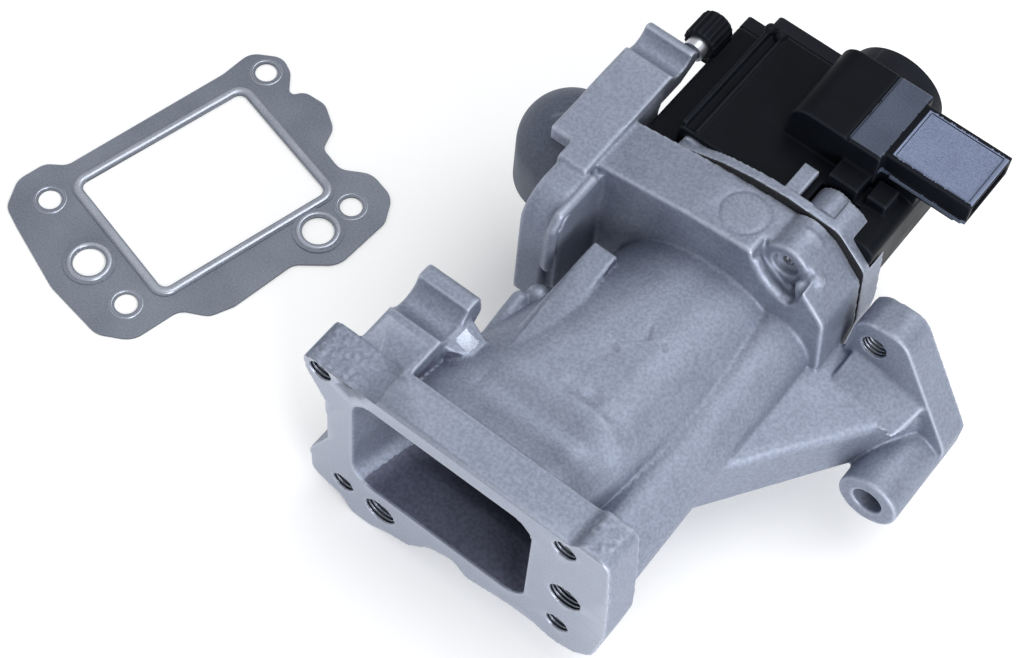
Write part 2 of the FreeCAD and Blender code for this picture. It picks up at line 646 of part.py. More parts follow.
register = cut("register", slab("register_slab", "rim_y-1", "deck_y-rim_y+1", body_points(2.65)), [
    box("register_corner", 30.5, 128.0, 28.5, 40.0, 12.0, 30.0),
    box("register_left", -30.0, 125.0, 21.7, 21.5, 12.0, 30.0),
])
rim_wall = doc.addObject("Part::Common", "rim_wall")
rim_wall.Base = cut("rim_ring", slab("rim_slab", "rim_y-0.5", 8.5, plate_points), [
    slab("rim_inside", "rim_y-1", 10.0, body_points(-0.4)),
])
rim_wall.Tool = box("rim_keep", 47.0, "rim_y-1", -12.0, 30.0, 10.0, 70.0)
base = join("base_body", [
    slab("base_slab", "plate_y", "rim_y-plate_y", plate_points),
    register,
    rod("lug_a", 6.6, "rim_y-1", 11.0, 43.0, 41.5),
    box("tab", 28.3, "rim_y-1", 45.1, 5.4, 13.2, 2.6),
    rim_wall,
])
base_cuts = [
    rod("base_bush_way", 5.0, "seam_y", 2.0, AX, AZ),
    rod("base_seal_pocket", 6.5, "plate_y+0.5", 3.5, AX, AZ),
    rod("base_bearing_pocket", "bearing_r+0.03", "rim_y", 5.0, AX, AZ),
    rod("base_pin_hole", 2.02, 129.0, 6.0, "mid_x", "mid_z"),
]
gasket_cuts = [rod("base_gasket_way", 5.2, 125.0, 3.0, AX, AZ)]
for name, x, z in housing_fixings:
    base_cuts.append(rod(name + "_base", 2.5 if name == "fix_a" else 2.8, 125.0, 13.5, x, z))
    gasket_cuts.append(rod(name + "_gasket", 3.0, 125.0, 3.0, x, z))
for name, x, z in plate_fixings:
    base_cuts.append(rod(name + "_base", 2.2, 125.0, 12.0, x, z))
    base_cuts.append(rod(name + "_head_pocket", 4.2, 130.5, 5.0, x, z))
    gasket_cuts.append(rod(name + "_gasket", 2.4, 125.0, 3.0, x, z))
for name, x, z in dowel_spots:
    base_cuts.append(rod(name + "_base", 2.02, 125.0, 5.0, x, z))
    gasket_cuts.append(rod(name + "_gasket", 2.3, 125.0, 3.0, x, z))
part(cut("base", base, base_cuts), "actuator_base")
sheet_body = slab("gasket_slab", "seam_y", "plate_y-seam_y", plate_points)
part(cut("base_sheet", sheet_body, gasket_cuts), "base_gasket")


def group(name, members):
    ob = doc.addObject("Part::Compound", name)
    ob.Links = members
    return ob


def screw(name, thread_r, head_r, under, seat, head, x, z, key=1.6):
    """A screw that points towards the casting. seat is where its head rests, under its length below that."""
    body = join(name + "_body", [
        rod(name + "_shank", thread_r, "%s-%s" % (seat, under), under, x, z),
        rod(name + "_head", head_r, seat, head, x, z),
    ])
    socket = rod(name + "_socket", key, "%s+%s" % (seat, head * 0.45), head, x, z)
    return cut(name, body, [socket])


front_screw = cut("front_screw", join("front_screw_body", [
    rod("front_screw_shank", 2.45, 117.0, 21.0, 43.0, 41.5),
    rod("front_screw_head", 4.4, 113.4, 4.1, 43.0, 41.5),
]), [rod("front_screw_socket", 2.0, 112.0, 3.4, 43.0, 41.5)])
part(group("long_screws", [front_screw] + [
    screw(name + "_screw", 2.45, 4.4, 20.5, "rim_y+5", 4.5, x, z, 2.0)
    for name, x, z in housing_fixings[1:]
]), "housing_screws")
part(group("short_screws", [
    screw(name + "_screw", 1.95, 3.9, 8.5, "rim_y+0.5", 3.3, x, z)
    for name, x, z in plate_fixings
]), "base_screws")
part(group("dowels", [rod(name, 2.0, 122.1, 7.8, x, z) for name, x, z in dowel_spots]), "dowel_pins")

# Gear housing with label block and connector
shell = slab("shell", "rim_y", "rear_y-rim_y", body_points(0.0))
top = values["block_z"]
block_points = [(16.0, 44.0), (16.0, top, 7), (30.0, top, 0.5), (48.5, top, 1), (48.5, 44.0)]
ear_a = rod("sleeve_ear", 5.6, 163.0, 11.0, -25.6, 38.5)
solid_body = join("solid_body", [
    shell,
    box("skirt", -21.0, 126.5, 22.1, 12.1, "rim_y-126.4", 13.9),
    slab("label_block", "block_a", "block_b-block_a", block_points),
    box("connector", 48.0, "plug_a", "plug_z", "plug_x-48", "plug_w", "block_z-plug_z"),
    box("connector_foot", 47.0, "plug_a+1", 44.0, 15.0, "plug_w-2", "plug_z-44"),
    box("connector_latch", 60.0, "plug_a+8", "plug_z-2.5", 16.0, 8.0, 2.6),
    ear_a,
    box("sleeve_ear_web", -25.6, 164.0, 30.0, 6.0, 9.0, 6.0),
    rod("fix_b_ear", 6.6, "rim_y", 5.0, 3.0, -41.0),
    rod("fix_c_ear", 6.6, "rim_y", 5.0, 47.0, -41.0),
    box("fix_b_web", -2.0, "rim_y", -40.0, 11.5, 5.0, 5.5),
    box("fix_c_web", 40.5, "rim_y", -40.0, 5.5, 5.0, 6.0),
])
lug_wall = box("lug_wall", 31.0, "rim_y", 29.0, 32.0, 12.7, 16.0)
inside_slab = slab("inside_slab", "rim_y-1", "rear_y-rim_y+2", body_points(values["wall"]))
inside = cut("inside", inside_slab, [lug_wall])
body_cuts = [
    inside,
    rod("lug_room", 7.0, "rim_y-1", 12.2, 43.0, 41.5),
    box("lug_open", 36.0, "rim_y-1", 41.5, 14.0, 12.2, 6.0),
    box("connector_room", 55.0, "plug_a+1.8", "plug_z+1.6", 30.0, "plug_w-3.6", "block_z-plug_z-3.2"),
    rod("sleeve_bore_hole", 3.83, 160.0, 20.0, -25.6, 38.5),
    rod("fix_b_way", 2.8, 128.0, 12.0, 3.0, -41.0),
    rod("fix_c_way", 2.8, 128.0, 12.0, 47.0, -41.0),
    box("tab_room", 28.0, "rim_y-1", 44.9, 6.0, 15.4, 3.0),
]
cover_fixings = [
    ("cover_a", -15.0, -22.0), ("cover_b", 54.6, 22.0), ("cover_c", 41.7, -29.0), ("cover_d", -14.8, 30.0),
]
posts = []
for name, x, z in cover_fixings:
    posts.append(rod(name + "_post", 4.2, "rear_y-8.3", 8.3, x, z))
post_holes = [rod(name + "_hole", 1.5, 173.0, 12.0, x, z) for name, x, z in cover_fixings]
pins = []
for index in range(6):
    y = "plug_a+%s" % (3.75 + 3.3 * index)
    post_holes.append(box("pin_way_%d" % index, 49.0, y + "-0.45", 55.05, 8.0, 0.9, 0.9))
    pins.append(box("terminal_%d" % index, 50.0, y + "-0.4", 55.1, 20.0, 0.8, 0.8))
hollow_body = cut("hollow_body", solid_body, body_cuts)
part(cut("gear_box", join("body_with_posts", [hollow_body] + posts), post_holes), "gear_housing")
part(group("terminals", pins), "terminal_pins")
part(ring("fixing_tube", 3.8, 2.7, 159.5, 15.0, -25.6, 38.5), "fixing_sleeve")

# Rear cover, its seal and screws
seal_body = slab("seal_slab", "rear_y", "seal_t", body_points(0.4))
seal_hole = slab("seal_hole", "rear_y-1", 3.0, body_points(2.2))
seal_cuts = [seal_hole]
cover_ways = []
for name, x, z in cover_fixings:
    cover_ways.append(rod(name + "_way", 1.7, "rear_y+0.5", 12.0, x, z))
part(cut("cover_ring", seal_body, seal_cuts), "cover_seal")
lid = join("lid_body", [
    slab("lid", "rear_y+seal_t", "lid_t", body_points(0.0)),
    rod("lid_dome", 12.0, "cover_b-0.5", 4.0, AX, AZ),
])
lid_cuts = cover_ways + [
    rod("lid_motor_way", "motor_r+0.4", "rear_y-1.5", 10.0, "motor_x", "motor_z"),
    rod("lid_stem_room", 9.4, "rear_y-1.5", 9.0, AX, AZ),
]
part(cut("rear_lid", lid, lid_cuts), "rear_cover")
part(group("lid_screws", [
    screw(name + "_screw", 1.45, 2.9, 11.0, "cover_b", 2.0, x, z, 1.0) for name, x, z in cover_fixings
]), "cover_screws")

# Motor
MX = "motor_x"
MZ = "motor_z"
mount_plate = box("mount_plate", -2.0, 150.0, 13.2, 56.0, 2.0, 29.3)
mount_cuts = [
    rod("mount_way", 4.0, 149.0, 4.0, MX, MZ),
    rod("mount_pin_way", 2.02, 149.0, 4.0, "mid_x", "mid_z"),
    rod("mount_screw_way_a", 1.6, 149.0, 4.0, "motor_x-10", MZ),
    rod("mount_screw_way_b", 1.6, 149.0, 4.0, "motor_x+10", MZ),
]
part(cut("motor_mount", mount_plate, mount_cuts), "motor_plate")
can_body = rod("can_body", "motor_r", "motor_a", "motor_b-motor_a", MX, MZ)
can_cuts = [
    rod("can_room", "motor_r-1.2", "motor_a+1.2", "motor_b-motor_a-2.4", MX, MZ),
    rod("can_front_way", "bush_r+0.02", "motor_a-1", 4.0, MX, MZ),
    rod("can_back_way", "bush_r+0.02", "motor_b-2", 4.0, MX, MZ),
    rod("can_screw_way_a", 1.25, "motor_a-1", 4.0, "motor_x-10", MZ),
    rod("can_screw_way_b", 1.25, "motor_a-1", 4.0, "motor_x+10", MZ),
]
part(cut("can", can_body, can_cuts), "motor_can")
part(group("case_screws", [
    join("case_screw_%d" % index, [
        rod("case_shank_%d" % index, 1.2, 149.5, 3.6, "motor_x%s10" % side_sign, MZ),
        rod("case_head_%d" % index, 2.4, 148.8, 1.2, "motor_x%s10" % side_sign, MZ),
    ])
    for index, side_sign in enumerate("-+")
]), "motor_screws")
part(group("shaft_bushes", [
    ring("front_bush", "bush_r", "shaft_r+run_gap", 151.0, 4.0, MX, MZ),
    ring("back_bush", "bush_r", "shaft_r+run_gap", 181.5, 3.5, MX, MZ),
]), "motor_bushes")
part(rod("shaft_rod", "shaft_r", 143.2, 42.3, MX, MZ), "motor_shaft")
shells = []
for index in (0, 1):
    curve = ring("magnet_shell_%d" % index, "motor_r-1.23", "core_r+0.4", 157.0, 20.0, MX, MZ)
    keep = doc.addObject("Part::Common", "motor_magnet_%d" % index)
    keep.Base = curve
    low = "motor_z+3" if index else "motor_z-19"
    keep.Tool = box("magnet_side_%d" % index, "motor_x-16", 156.0, low, 32.0, 22.0, 16.0)
    shells.append(keep)
part(group("field_magnets", shells), "motor_magnets")
core = rod("core_body", "core_r", 160.0, 13.0, MX, MZ)
core_cuts = [rod("core_bore", "shaft_r+0.02", 159.0, 15.0, MX, MZ)]
coils = []
for index in range(5):
    angle = 2 * math.pi * index / 5
    spot_x = values["motor_x"] + 9.0 * math.cos(angle)
    spot_z = values["motor_z"] + 9.0 * math.sin(angle)
    core_cuts.append(rod("core_slot_%d" % index, 2.4, 159.0, 15.0, spot_x, spot_z))
    coils.append(rod("coil_%d" % index, 2.2, 158.2, 16.6, spot_x, spot_z))
part(cut("core", core, core_cuts), "rotor_core")
coil_ends = [
    ring("coil_end_a", 10.4, 2.5, 158.0, 1.95, MX, MZ),
    ring("coil_end_b", 10.4, 4.6, 173.05, 1.95, MX, MZ),
]
part(join("windings", coil_ends + coils), "rotor_windings")
part(ring("commutator_ring", 4.2, "shaft_r+0.02", 173.2, 6.0, MX, MZ), "commutator")
card = rod("card_body", "motor_r-1.25", 179.6, 1.5, MX, MZ)
part(cut("card", card, [rod("card_way", 4.0, 179.0, 3.0, MX, MZ)]), "brush_card")
part(group("brush_pair", [
    box("brush_a", "motor_x+4.3", 176.0, "motor_z-1.5", 4.0, 3.6, 3.0),
    box("brush_b", "motor_x-8.3", 176.0, "motor_z-1.5", 4.0, 3.6, 3.0),
]), "motor_brushes")
cap = rod("cap_body", "cap_r", "cover_b", "cap_b-cover_b", MX, MZ)
part(cut("cap", cap, [rod("cap_room", "cap_r-2", "cover_b-1", "cap_b-cover_b-1", MX, MZ)]), "motor_cap")

# Position board
board = box("board", 34.8, 148.0, -32.8, 6.4, 1.6, 36.8)
part(board, "position_board")
part(group("board_parts", [
    box("sensor_chip", 35.6, 146.4, -24.0, 5.0, 1.6, 5.0),
    box("board_chip", 36.0, 146.6, -14.0, 4.0, 1.4, 5.0),
]), "board_chips")

# Loose gasket, lying flat on the floor beside the valve
gasket_points = [
    (59.0, 33.0, 6), (50.0, 40.3, 8), (39.0, 40.5, 6), (33.0, 35.5, 6), (-33.0, 36.3, 8), (-46.0, 38.4, 7),
    (-54.6, 30.0, 6), (-53.0, 23.0, 5), (-46.6, 15.0, 3), (-52.2, 13.2, 5), (-55.0, 4.5, 6), (-51.5, -5.5, 6),
    (-43.4, -10.5, 4), (-43.2, -21.0, 6), (-51.2, -29.0, 8), (-51.2, -41.0, 8), (-43.0, -48.0, 6),
    (-20.0, -52.6, 9), (-7.5, -43.3, 6), (18.0, -45.2, 6), (27.0, -43.5, 6), (34.0, -35.8, 6),
    (53.0, -36.3, 9), (61.6, -27.0, 8), (63.8, -3.0, 12), (60.5, 24.0, 10),
]
gasket_body = join("gasket_body", [
    slab("gasket_sheet", 0, "gasket_t*0.6", gasket_points),
    slab("gasket_bead", 0, "gasket_t", rounded(values["port_w"] + 7, values["port_h"] + 7, 6.0)),
    rod("gasket_ring_b", 9.0, 0, "gasket_t", 48.1, -2.2),
    rod("gasket_ring_d", 9.0, 0, "gasket_t", -22.3, -37.3),
])
loose_cuts = [slab("gasket_window", -1, 4.0, rounded(values["port_w"], values["port_h"], 3.0))]
for name, x, z in flange_holes:
    loose_cuts.append(rod(name + "_loose", "screw_hole_r", -1, 4.0, x, z))
loose_cuts.append(rod("hole_b_loose", "large_hole_r", -1, 4.0, 48.1, -2.2))
loose_cuts.append(rod("hole_d_loose", "large_hole_r", -1, 4.0, -22.3, -37.3))
gasket_cut = cut("gasket_cut", gasket_body, loose_cuts)
loose = doc.addObject("Part::Compound", "loose_gasket")
loose.Links = [gasket_cut]
lay = math.radians(75.5)
long_way = V(math.cos(lay), math.sin(lay), 0)
short_way = V(-math.sin(lay), math.cos(lay), 0)
flat = FreeCAD.Rotation(long_way * -1, V(0, 0, 1), short_way, "XYZ")
loose.Placement = FreeCAD.Placement(V(0, 0, 0), flat)
place(loose, -152.5, 62.5, "floor_z")
part(loose, "flange_gasket")

doc.recompute()
os.makedirs("parts", exist_ok=True)
for ob in doc.Objects:
    bad = [word for word in ob.State if word in ("Invalid", "Error")]
    if bad:
        raise RuntimeError("%s: %s" % (ob.Name, bad))
for ob in parts:
    shape = ob.Shape
    if shape.isNull() or not shape.isValid() or not shape.Solids:
        raise RuntimeError("%s has no sound shape" % ob.Label)
    shape.exportStep("parts/%s.step" % ob.Label)
    bounds = shape.optimalBoundingBox()
    print("%-20s solids %d volume %9.1f  x %7.1f %7.1f  y %7.1f %7.1f  z %7.1f %7.1f" % (
        ob.Label, len(shape.Solids), shape.Volume, bounds.XMin, bounds.XMax, bounds.YMin, bounds.YMax,
        bounds.ZMin, bounds.ZMax))
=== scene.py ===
import math

import bmesh
import bpy
from mathutils import Matrix, Vector, noise


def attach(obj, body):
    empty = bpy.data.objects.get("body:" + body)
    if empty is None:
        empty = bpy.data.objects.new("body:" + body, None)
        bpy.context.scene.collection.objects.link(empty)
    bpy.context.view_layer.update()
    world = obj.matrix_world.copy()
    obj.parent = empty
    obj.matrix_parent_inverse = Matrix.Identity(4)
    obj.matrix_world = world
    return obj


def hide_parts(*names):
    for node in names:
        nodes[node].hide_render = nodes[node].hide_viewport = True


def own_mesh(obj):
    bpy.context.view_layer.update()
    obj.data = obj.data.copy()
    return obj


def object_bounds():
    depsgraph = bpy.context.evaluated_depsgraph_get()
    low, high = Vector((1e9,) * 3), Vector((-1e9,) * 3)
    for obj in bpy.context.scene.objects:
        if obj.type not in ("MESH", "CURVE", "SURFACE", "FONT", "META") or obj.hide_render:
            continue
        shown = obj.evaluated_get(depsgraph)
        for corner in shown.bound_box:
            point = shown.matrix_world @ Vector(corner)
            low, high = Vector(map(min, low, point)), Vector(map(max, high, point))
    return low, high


# EGR valve: the looks of the casting, the actuator and the loose gasket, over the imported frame.
# Sizes are given in millimetres and turned into metres by MM.

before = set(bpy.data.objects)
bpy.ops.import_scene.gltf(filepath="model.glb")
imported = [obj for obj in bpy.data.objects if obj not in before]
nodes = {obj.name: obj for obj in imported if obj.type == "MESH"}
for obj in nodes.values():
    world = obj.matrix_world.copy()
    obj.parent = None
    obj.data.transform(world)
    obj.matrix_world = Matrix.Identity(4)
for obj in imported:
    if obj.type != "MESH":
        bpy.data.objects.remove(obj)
cad_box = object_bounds()
MM = 0.001
FLOOR_Z = cad_box[0][2]

# Places on the casting. The port flange faces -Y, and its face is at Y = 0.
FLANGE_BACK = 15.0
FLANGE_TOP = 33.0
COLLAR_FRONT, COLLAR_BACK = 105.0, 126.0
BRANCH_FACE = 129.0
BRANCH_LEFT = 66.0  # the branch flange lies right of this X
SCREW_SPOT = (43.0, 41.5)  # X and Z of the long screw that shows
# X, Z and radius
FLANGE_HOLES = ((45.3, 27.0, 4.0), (47.0, -23.2, 4.0), (-37.4, -35.8, 4.0), (-46.0, 28.1, 4.0),
                (48.1, -2.2, 5.7), (-22.3, -37.3, 5.7))
BRANCH_HOLES = ((76.4, 21.6, 4.25), (98.8, -17.0, 5.2), (74.5, -24.7, 4.25))
EJECTOR_SPOT, EJECTOR_R = (24.0, 116.1), 7.9  # X and Y, on top of the collar

# The inside of the duct, from its rounded rectangle behind the flange to the bore at the valve seat
DUCT_FRONT = 16.0
DUCT_CORNERS = ((-30.0, -25.0, 10.0), (33.0, -25.0, 10.0), (33.0, 24.0, 10.0), (-30.0, 24.0, 20.0))
SEAT_X, SEAT_Y, SEAT_Z, SEAT_BORE = 24.5, 97.0, -5.5, 28.0
PORT_HALF_W, PORT_HALF_H = 34.0, 26.0
DUCT_MARGIN = 0.6

# The hollow behind the flange, the groove beside the round rib, and small marks
NECK_LEFT, NECK_RIGHT, NECK_END, NECK_DEEP = -22.0, 46.0, 41.0, 3.0
VALLEY_FAR, VALLEY_NEAR = Vector((39.1, 106.0, 20.0)), Vector((44.6, 41.8, 8.0))
VALLEY = VALLEY_NEAR - VALLEY_FAR
VALLEY_W, VALLEY_DEEP = 5.6, 4.0
CREASES = (
    # start, end, width, depth: the flow lines, nicks and tool marks on top of the duct
    ((14.3, 43.5), (22.1, 44.4), 3.4, 0.3), ((22.1, 44.4), (30.1, 43.6), 3.4, 0.35),
    ((30.1, 43.6), (36.9, 41.1), 3.4, 0.3), ((16.2, 62.8), (18.2, 61.8), 1.0, 0.3),
    ((21.1, 74.6), (22.8, 71.4), 1.0, 0.3), ((27.8, 72.6), (29.2, 71.4), 1.0, 0.3),
)

# Places on the actuator
BLOCK_TOP, SHELL_TOP = 60.0, 45.0
BLOCK_RIGHT, PLUG_END = 48.5, 79.0
BLOCK_NEAR, BLOCK_FAR = 149.0, 179.5
PLUG_NEAR, PLUG_FAR = 152.0, 176.0
SLEEVE_X, SLEEVE_Z, EAR_R = -25.6, 38.5, 5.6
KNOB_RIBS = 18

# Mesh detail
WELD_GAP = 0.000005
SHARP_ANGLE = math.radians(35.0)
CAST_VOXEL, PLATE_VOXEL, SHELL_VOXEL = 0.62, 0.5, 0.42


def mm(x, y, z):
    return Vector((x, y, z)) * MM


# Mesh helpers
def piece_from(name, bm, smooth=True):
    mesh = bpy.data.meshes.new(name)
    bm.normal_update()
    bm.to_mesh(mesh)
    bm.free()
    for face in mesh.polygons:
        face.use_smooth = smooth
    obj = bpy.data.objects.new(name, mesh)
    bpy.context.collection.objects.link(obj)
    return obj


def copy_node(name, node):
    """A free copy of a CAD node's mesh, to be worked on."""
    source = nodes[node]
    obj = bpy.data.objects.new(name, source.data.copy())
    obj.data.materials.clear()
    shading = obj.data.attributes.get("custom_normal")
    if shading:
        obj.data.attributes.remove(shading)
    bpy.context.collection.objects.link(obj)
    obj.matrix_world = source.matrix_world.copy()
    return obj


def bake(obj):
    """Turns the modifiers into plain mesh."""
    graph = bpy.context.evaluated_depsgraph_get()
    mesh = bpy.data.meshes.new_from_object(obj.evaluated_get(graph))
    old = obj.data
    obj.modifiers.clear()
    obj.data = mesh
    bpy.data.meshes.remove(old)
    return obj


def weld(obj):
    """Joins the doubled points that a CAD mesh has along its edges."""
    joint = obj.modifiers.new("weld", "WELD")
    joint.merge_threshold = WELD_GAP
    return obj


def thin(obj, share):
    """Keeps a share of the triangles, fewest where the surface is flat."""
    fewer = obj.modifiers.new("thin", "DECIMATE")
    fewer.ratio = share
    return bake(obj)


def add_box(bm, low, high):
    made = bmesh.ops.create_cube(bm, size=1.0)["verts"]
    centre = (Vector(low) + Vector(high)) / 2
    size = Vector(high) - Vector(low)
    for v in made:
        v.co = (Vector((v.co.x * size.x, v.co.y * size.y, v.co.z * size.z)) + centre) * MM


def add_rod(bm, start, end, radius, sides):
    start, end = Vector(start), Vector(end)
    span = end - start
    turn = Vector((0, 0, 1)).rotation_difference(span.normalized()).to_matrix().to_4x4()
    bmesh.ops.create_cone(
        bm, cap_ends=True, segments=sides, radius1=radius * MM, radius2=radius * MM,
        depth=span.length * MM, matrix=Matrix.Translation((start + end) / 2 * MM) @ turn,
    )


def add_prism(bm, outline, depth, to_space):
    """A closed outline made thick. to_space turns (u, v, w) into a point in millimetres."""
    near = [bm.verts.new(to_space(u, v, 0.0) * MM) for u, v in outline]
    far = [bm.verts.new(to_space(u, v, depth) * MM) for u, v in outline]
    bm.faces.new(near[::-1])
    bm.faces.new(far)
    for i in range(len(near)):
        j = (i + 1) % len(near)
        bm.faces.new((near[i], near[j], far[j], far[i]))


def joined(name, obj, bm):
    """obj's mesh with the loose solids of bm added to it, ready for a remesh."""
    bm.from_mesh(obj.data)
    bmesh.ops.recalc_face_normals(bm, faces=bm.faces)
    bm.to_mesh(obj.data)
    bm.free()
    obj.name = name
    return obj


def cast(obj, voxel, rounds, keep=None, share=1.0):
    """Melts an object's solids into one skin with soft edges. keep says how far a point may be softened."""
    remesh = obj.modifiers.new("skin", "REMESH")
    remesh.mode = "VOXEL"
    remesh.voxel_size = voxel * MM
    remesh.use_smooth_shade = True
    bake(obj)
    if keep:
        group = obj.vertex_groups.new(name="soft")
        for v in obj.data.vertices:
            group.add([v.index], keep(v.co / MM), "REPLACE")
    soften = obj.modifiers.new("soften", "SMOOTH")
    soften.factor = 0.5
    soften.iterations = rounds
    if keep:
        soften.vertex_group = "soft"
    bake(obj)
    if share < 1.0:
        thin(obj, share)
    for face in obj.data.polygons:
        face.use_smooth = True
    return obj


def press(obj, shift):
    """Moves each point by what shift gives for its place and normal, in millimetres."""
    mesh = obj.data
    normals = [v.normal.copy() for v in mesh.vertices]
    for v, normal in zip(mesh.vertices, normals):
        v.co += shift(v.co / MM, normal) * MM
    mesh.update()


def add_collar(bm, centre, outer, inner, start, end, sides=48):
    """A ring along Y with a hole through it. centre is its X and Z."""
    loops = []
    for radius, y in ((outer, start), (outer, end), (inner, end), (inner, start)):
        loop = []
        for i in range(sides):
            turn = 2 * math.pi * i / sides
            spot = (centre[0] + radius * math.cos(turn), y, centre[1] + radius * math.sin(turn))
            loop.append(bm.verts.new(mm(*spot)))
        loops.append(loop)
    for k in range(4):
        near, far = loops[k], loops[(k + 1) % 4]
        for i in range(sides):
            j = (i + 1) % sides
            bm.faces.new((near[i], near[j], far[j], far[i]))


def add_hull(bm, points):
    """The smallest closed solid round some points."""
    made = [bm.verts.new(mm(*p)) for p in points]
    result = bmesh.ops.convex_hull(bm, input=made)
    loose = [v for v in result["geom_interior"] if isinstance(v, bmesh.types.BMVert)]
    bmesh.ops.delete(bm, geom=loose, context="VERTS")


def add_ball(bm, centre, radius, stretch=(1.0, 1.0, 1.0)):
    made = bmesh.ops.create_icosphere(bm, subdivisions=3, radius=radius * MM)["verts"]
    for v in made:
        v.co = Vector((v.co.x * stretch[0], v.co.y * stretch[1], v.co.z * stretch[2])) + mm(*centre)


def add_ridge(bm, points, radius):
    """Rods with round ends from point to point."""
    for start, end in zip(points, points[1:]):
        add_rod(bm, start, end, radius, sides=20)
    for point in points:
        add_ball(bm, point, radius)


def add_bead(bm, path, width, height, sides=8):
    """A closed half-round bead that lies on a flat sheet, along a path of points."""
    count = len(path)
    rings = []
    for i in range(count):
        here = Vector(path[i])
        ahead = Vector(path[(i + 1) % count]) - Vector(path[i - 1])
        out = Vector((ahead.y, -ahead.x, 0.0)).normalized()
        ring = []
        for k in range(sides + 1):
            turn = math.pi * k / sides
            lift = Vector((0.0, 0.0, height * math.sin(turn)))
            ring.append(bm.verts.new((here + out * width * math.cos(turn) + lift) * MM))
        rings.append(ring)
    for i in range(count):
        near, far = rings[i], rings[(i + 1) % count]
        for k in range(sides + 1):
            j = (k + 1) % (sides + 1)
            bm.faces.new((near[k], near[j], far[j], far[k]))


def carve(obj, bm, overlapping=False):
    """Takes the solids of bm out of obj, whose own solids may overlap."""
    bmesh.ops.recalc_face_normals(bm, faces=bm.faces)
    tool = piece_from("carving_tool", bm, smooth=False)
    trim = obj.modifiers.new("carve", "BOOLEAN")
    trim.operation = "DIFFERENCE"
    trim.solver = "EXACT"
    trim.object = tool
    trim.use_self = overlapping
    bake(obj)
    mesh = tool.data
    bpy.data.objects.remove(tool)
    bpy.data.meshes.remove(mesh)


def round_edges(obj, width):
    """Small round edges on a moulded or machined piece."""
    weld(obj)
    edge = obj.modifiers.new("edges", "BEVEL")
    edge.width = width * MM
    edge.segments = 2
    edge.limit_method = "ANGLE"
    edge.angle_limit = SHARP_ANGLE
    edge.harden_normals = True


def crisp(obj):
    """Smooth shading, with sharp edges where faces meet at more than an angle."""
    for face in obj.data.polygons:
        face.use_smooth = True
    obj.data.set_sharp_from_angle(angle=SHARP_ANGLE)
    return obj


def paint_faces(obj, finishes, choose):
    """Gives each face the finish that choose names for its middle and normal, in millimetres."""
    obj.data.materials.clear()
    for finish in finishes:
        obj.data.materials.append(finish)
    for face in obj.data.polygons:
        face.material_index = choose(face.center / MM, face.normal)


# Effects that several finishes share
def group_tree(name, inputs, outputs):
    tree = bpy.data.node_groups.new(name, "ShaderNodeTree")
    for label, value in inputs:
        socket = tree.interface.new_socket(label, in_out="INPUT", socket_type="NodeSocketFloat")
        socket.default_value = value
    for label in outputs:
        tree.interface.new_socket(label, in_out="OUTPUT", socket_type="NodeSocketFloat")
    return tree, tree.nodes.new("NodeGroupInput"), tree.nodes.new("NodeGroupOutput")


def make_grain():
    """Cast or moulded skin: coarse waves, bright flecks, fine grain and pits."""
    tree, given, result = group_tree(
        "skin_grain", [("Grain", 1400.0), ("Waves", 120.0), ("Pits", 420.0)],
        ["Height", "Cloud", "Fleck"],
    )
    add, link = tree.nodes.new, tree.links.new
    place = add("ShaderNodeTexCoord")
    fine = add("ShaderNodeTexNoise")
    fine.inputs["Detail"].default_value = 3.0
    waves = add("ShaderNodeTexNoise")
    waves.inputs["Detail"].default_value = 3.0
    pits = add("ShaderNodeTexVoronoi")
    for node, label in ((fine, "Grain"), (waves, "Waves"), (pits, "Pits")):
        link(place.outputs["Object"], node.inputs["Vector"])
        link(given.outputs[label], node.inputs["Scale"])
    deep = add("ShaderNodeMapRange")
    deep.inputs["From Max"].default_value = 0.16
    link(pits.outputs["Distance"], deep.inputs["Value"])
    cloud = add("ShaderNodeMapRange")
    cloud.inputs["From Min"].default_value = 0.32
    cloud.inputs["From Max"].default_value = 0.68
    link(waves.outputs["Fac"], cloud.inputs["Value"])
    fleck = add("ShaderNodeMapRange")
    fleck.inputs["From Min"].default_value = 0.36
    fleck.inputs["From Max"].default_value = 0.64
    link(fine.outputs["Fac"], fleck.inputs["Value"])
    both = add("ShaderNodeMath")
    both.operation = "MULTIPLY_ADD"
    both.inputs[1].default_value = 0.35
    link(fine.outputs["Fac"], both.inputs[0])
    link(waves.outputs["Fac"], both.inputs[2])
    dent = add("ShaderNodeMath")
    dent.operation = "MULTIPLY_ADD"
    dent.inputs[1].default_value = 0.12
    link(deep.outputs["Result"], dent.inputs[0])
    link(both.outputs["Value"], dent.inputs[2])
    link(dent.outputs["Value"], result.inputs["Height"])
    link(cloud.outputs["Result"], result.inputs["Cloud"])
    link(fleck.outputs["Result"], result.inputs["Fleck"])
    return tree


def make_edges():
    """Painted highlight on convex edges and painted shade in creases, from the pointiness of the mesh."""
    tree, given, result = group_tree("edge_highlight_and_crease_shade", [("Reach", 0.54), ("Depth", 0.44)], ["Edge_Highlight", "Crease_Shade"])
    add, link = tree.nodes.new, tree.links.new
    shape = add("ShaderNodeNewGeometry")
    edge_highlight = add("ShaderNodeMapRange")
    edge_highlight.inputs["From Min"].default_value = 0.505
    link(given.outputs["Reach"], edge_highlight.inputs["From Max"])
    crease_shade = add("ShaderNodeMapRange")
    crease_shade.inputs["From Min"].default_value = 0.49
    link(given.outputs["Depth"], crease_shade.inputs["From Max"])
    for node, label in ((edge_highlight, "Edge_Highlight"), (crease_shade, "Crease_Shade")):
        link(shape.outputs["Pointiness"], node.inputs["Value"])
        link(node.outputs["Result"], result.inputs[label])
    return tree


GRAIN = make_grain()
EDGES = make_edges()


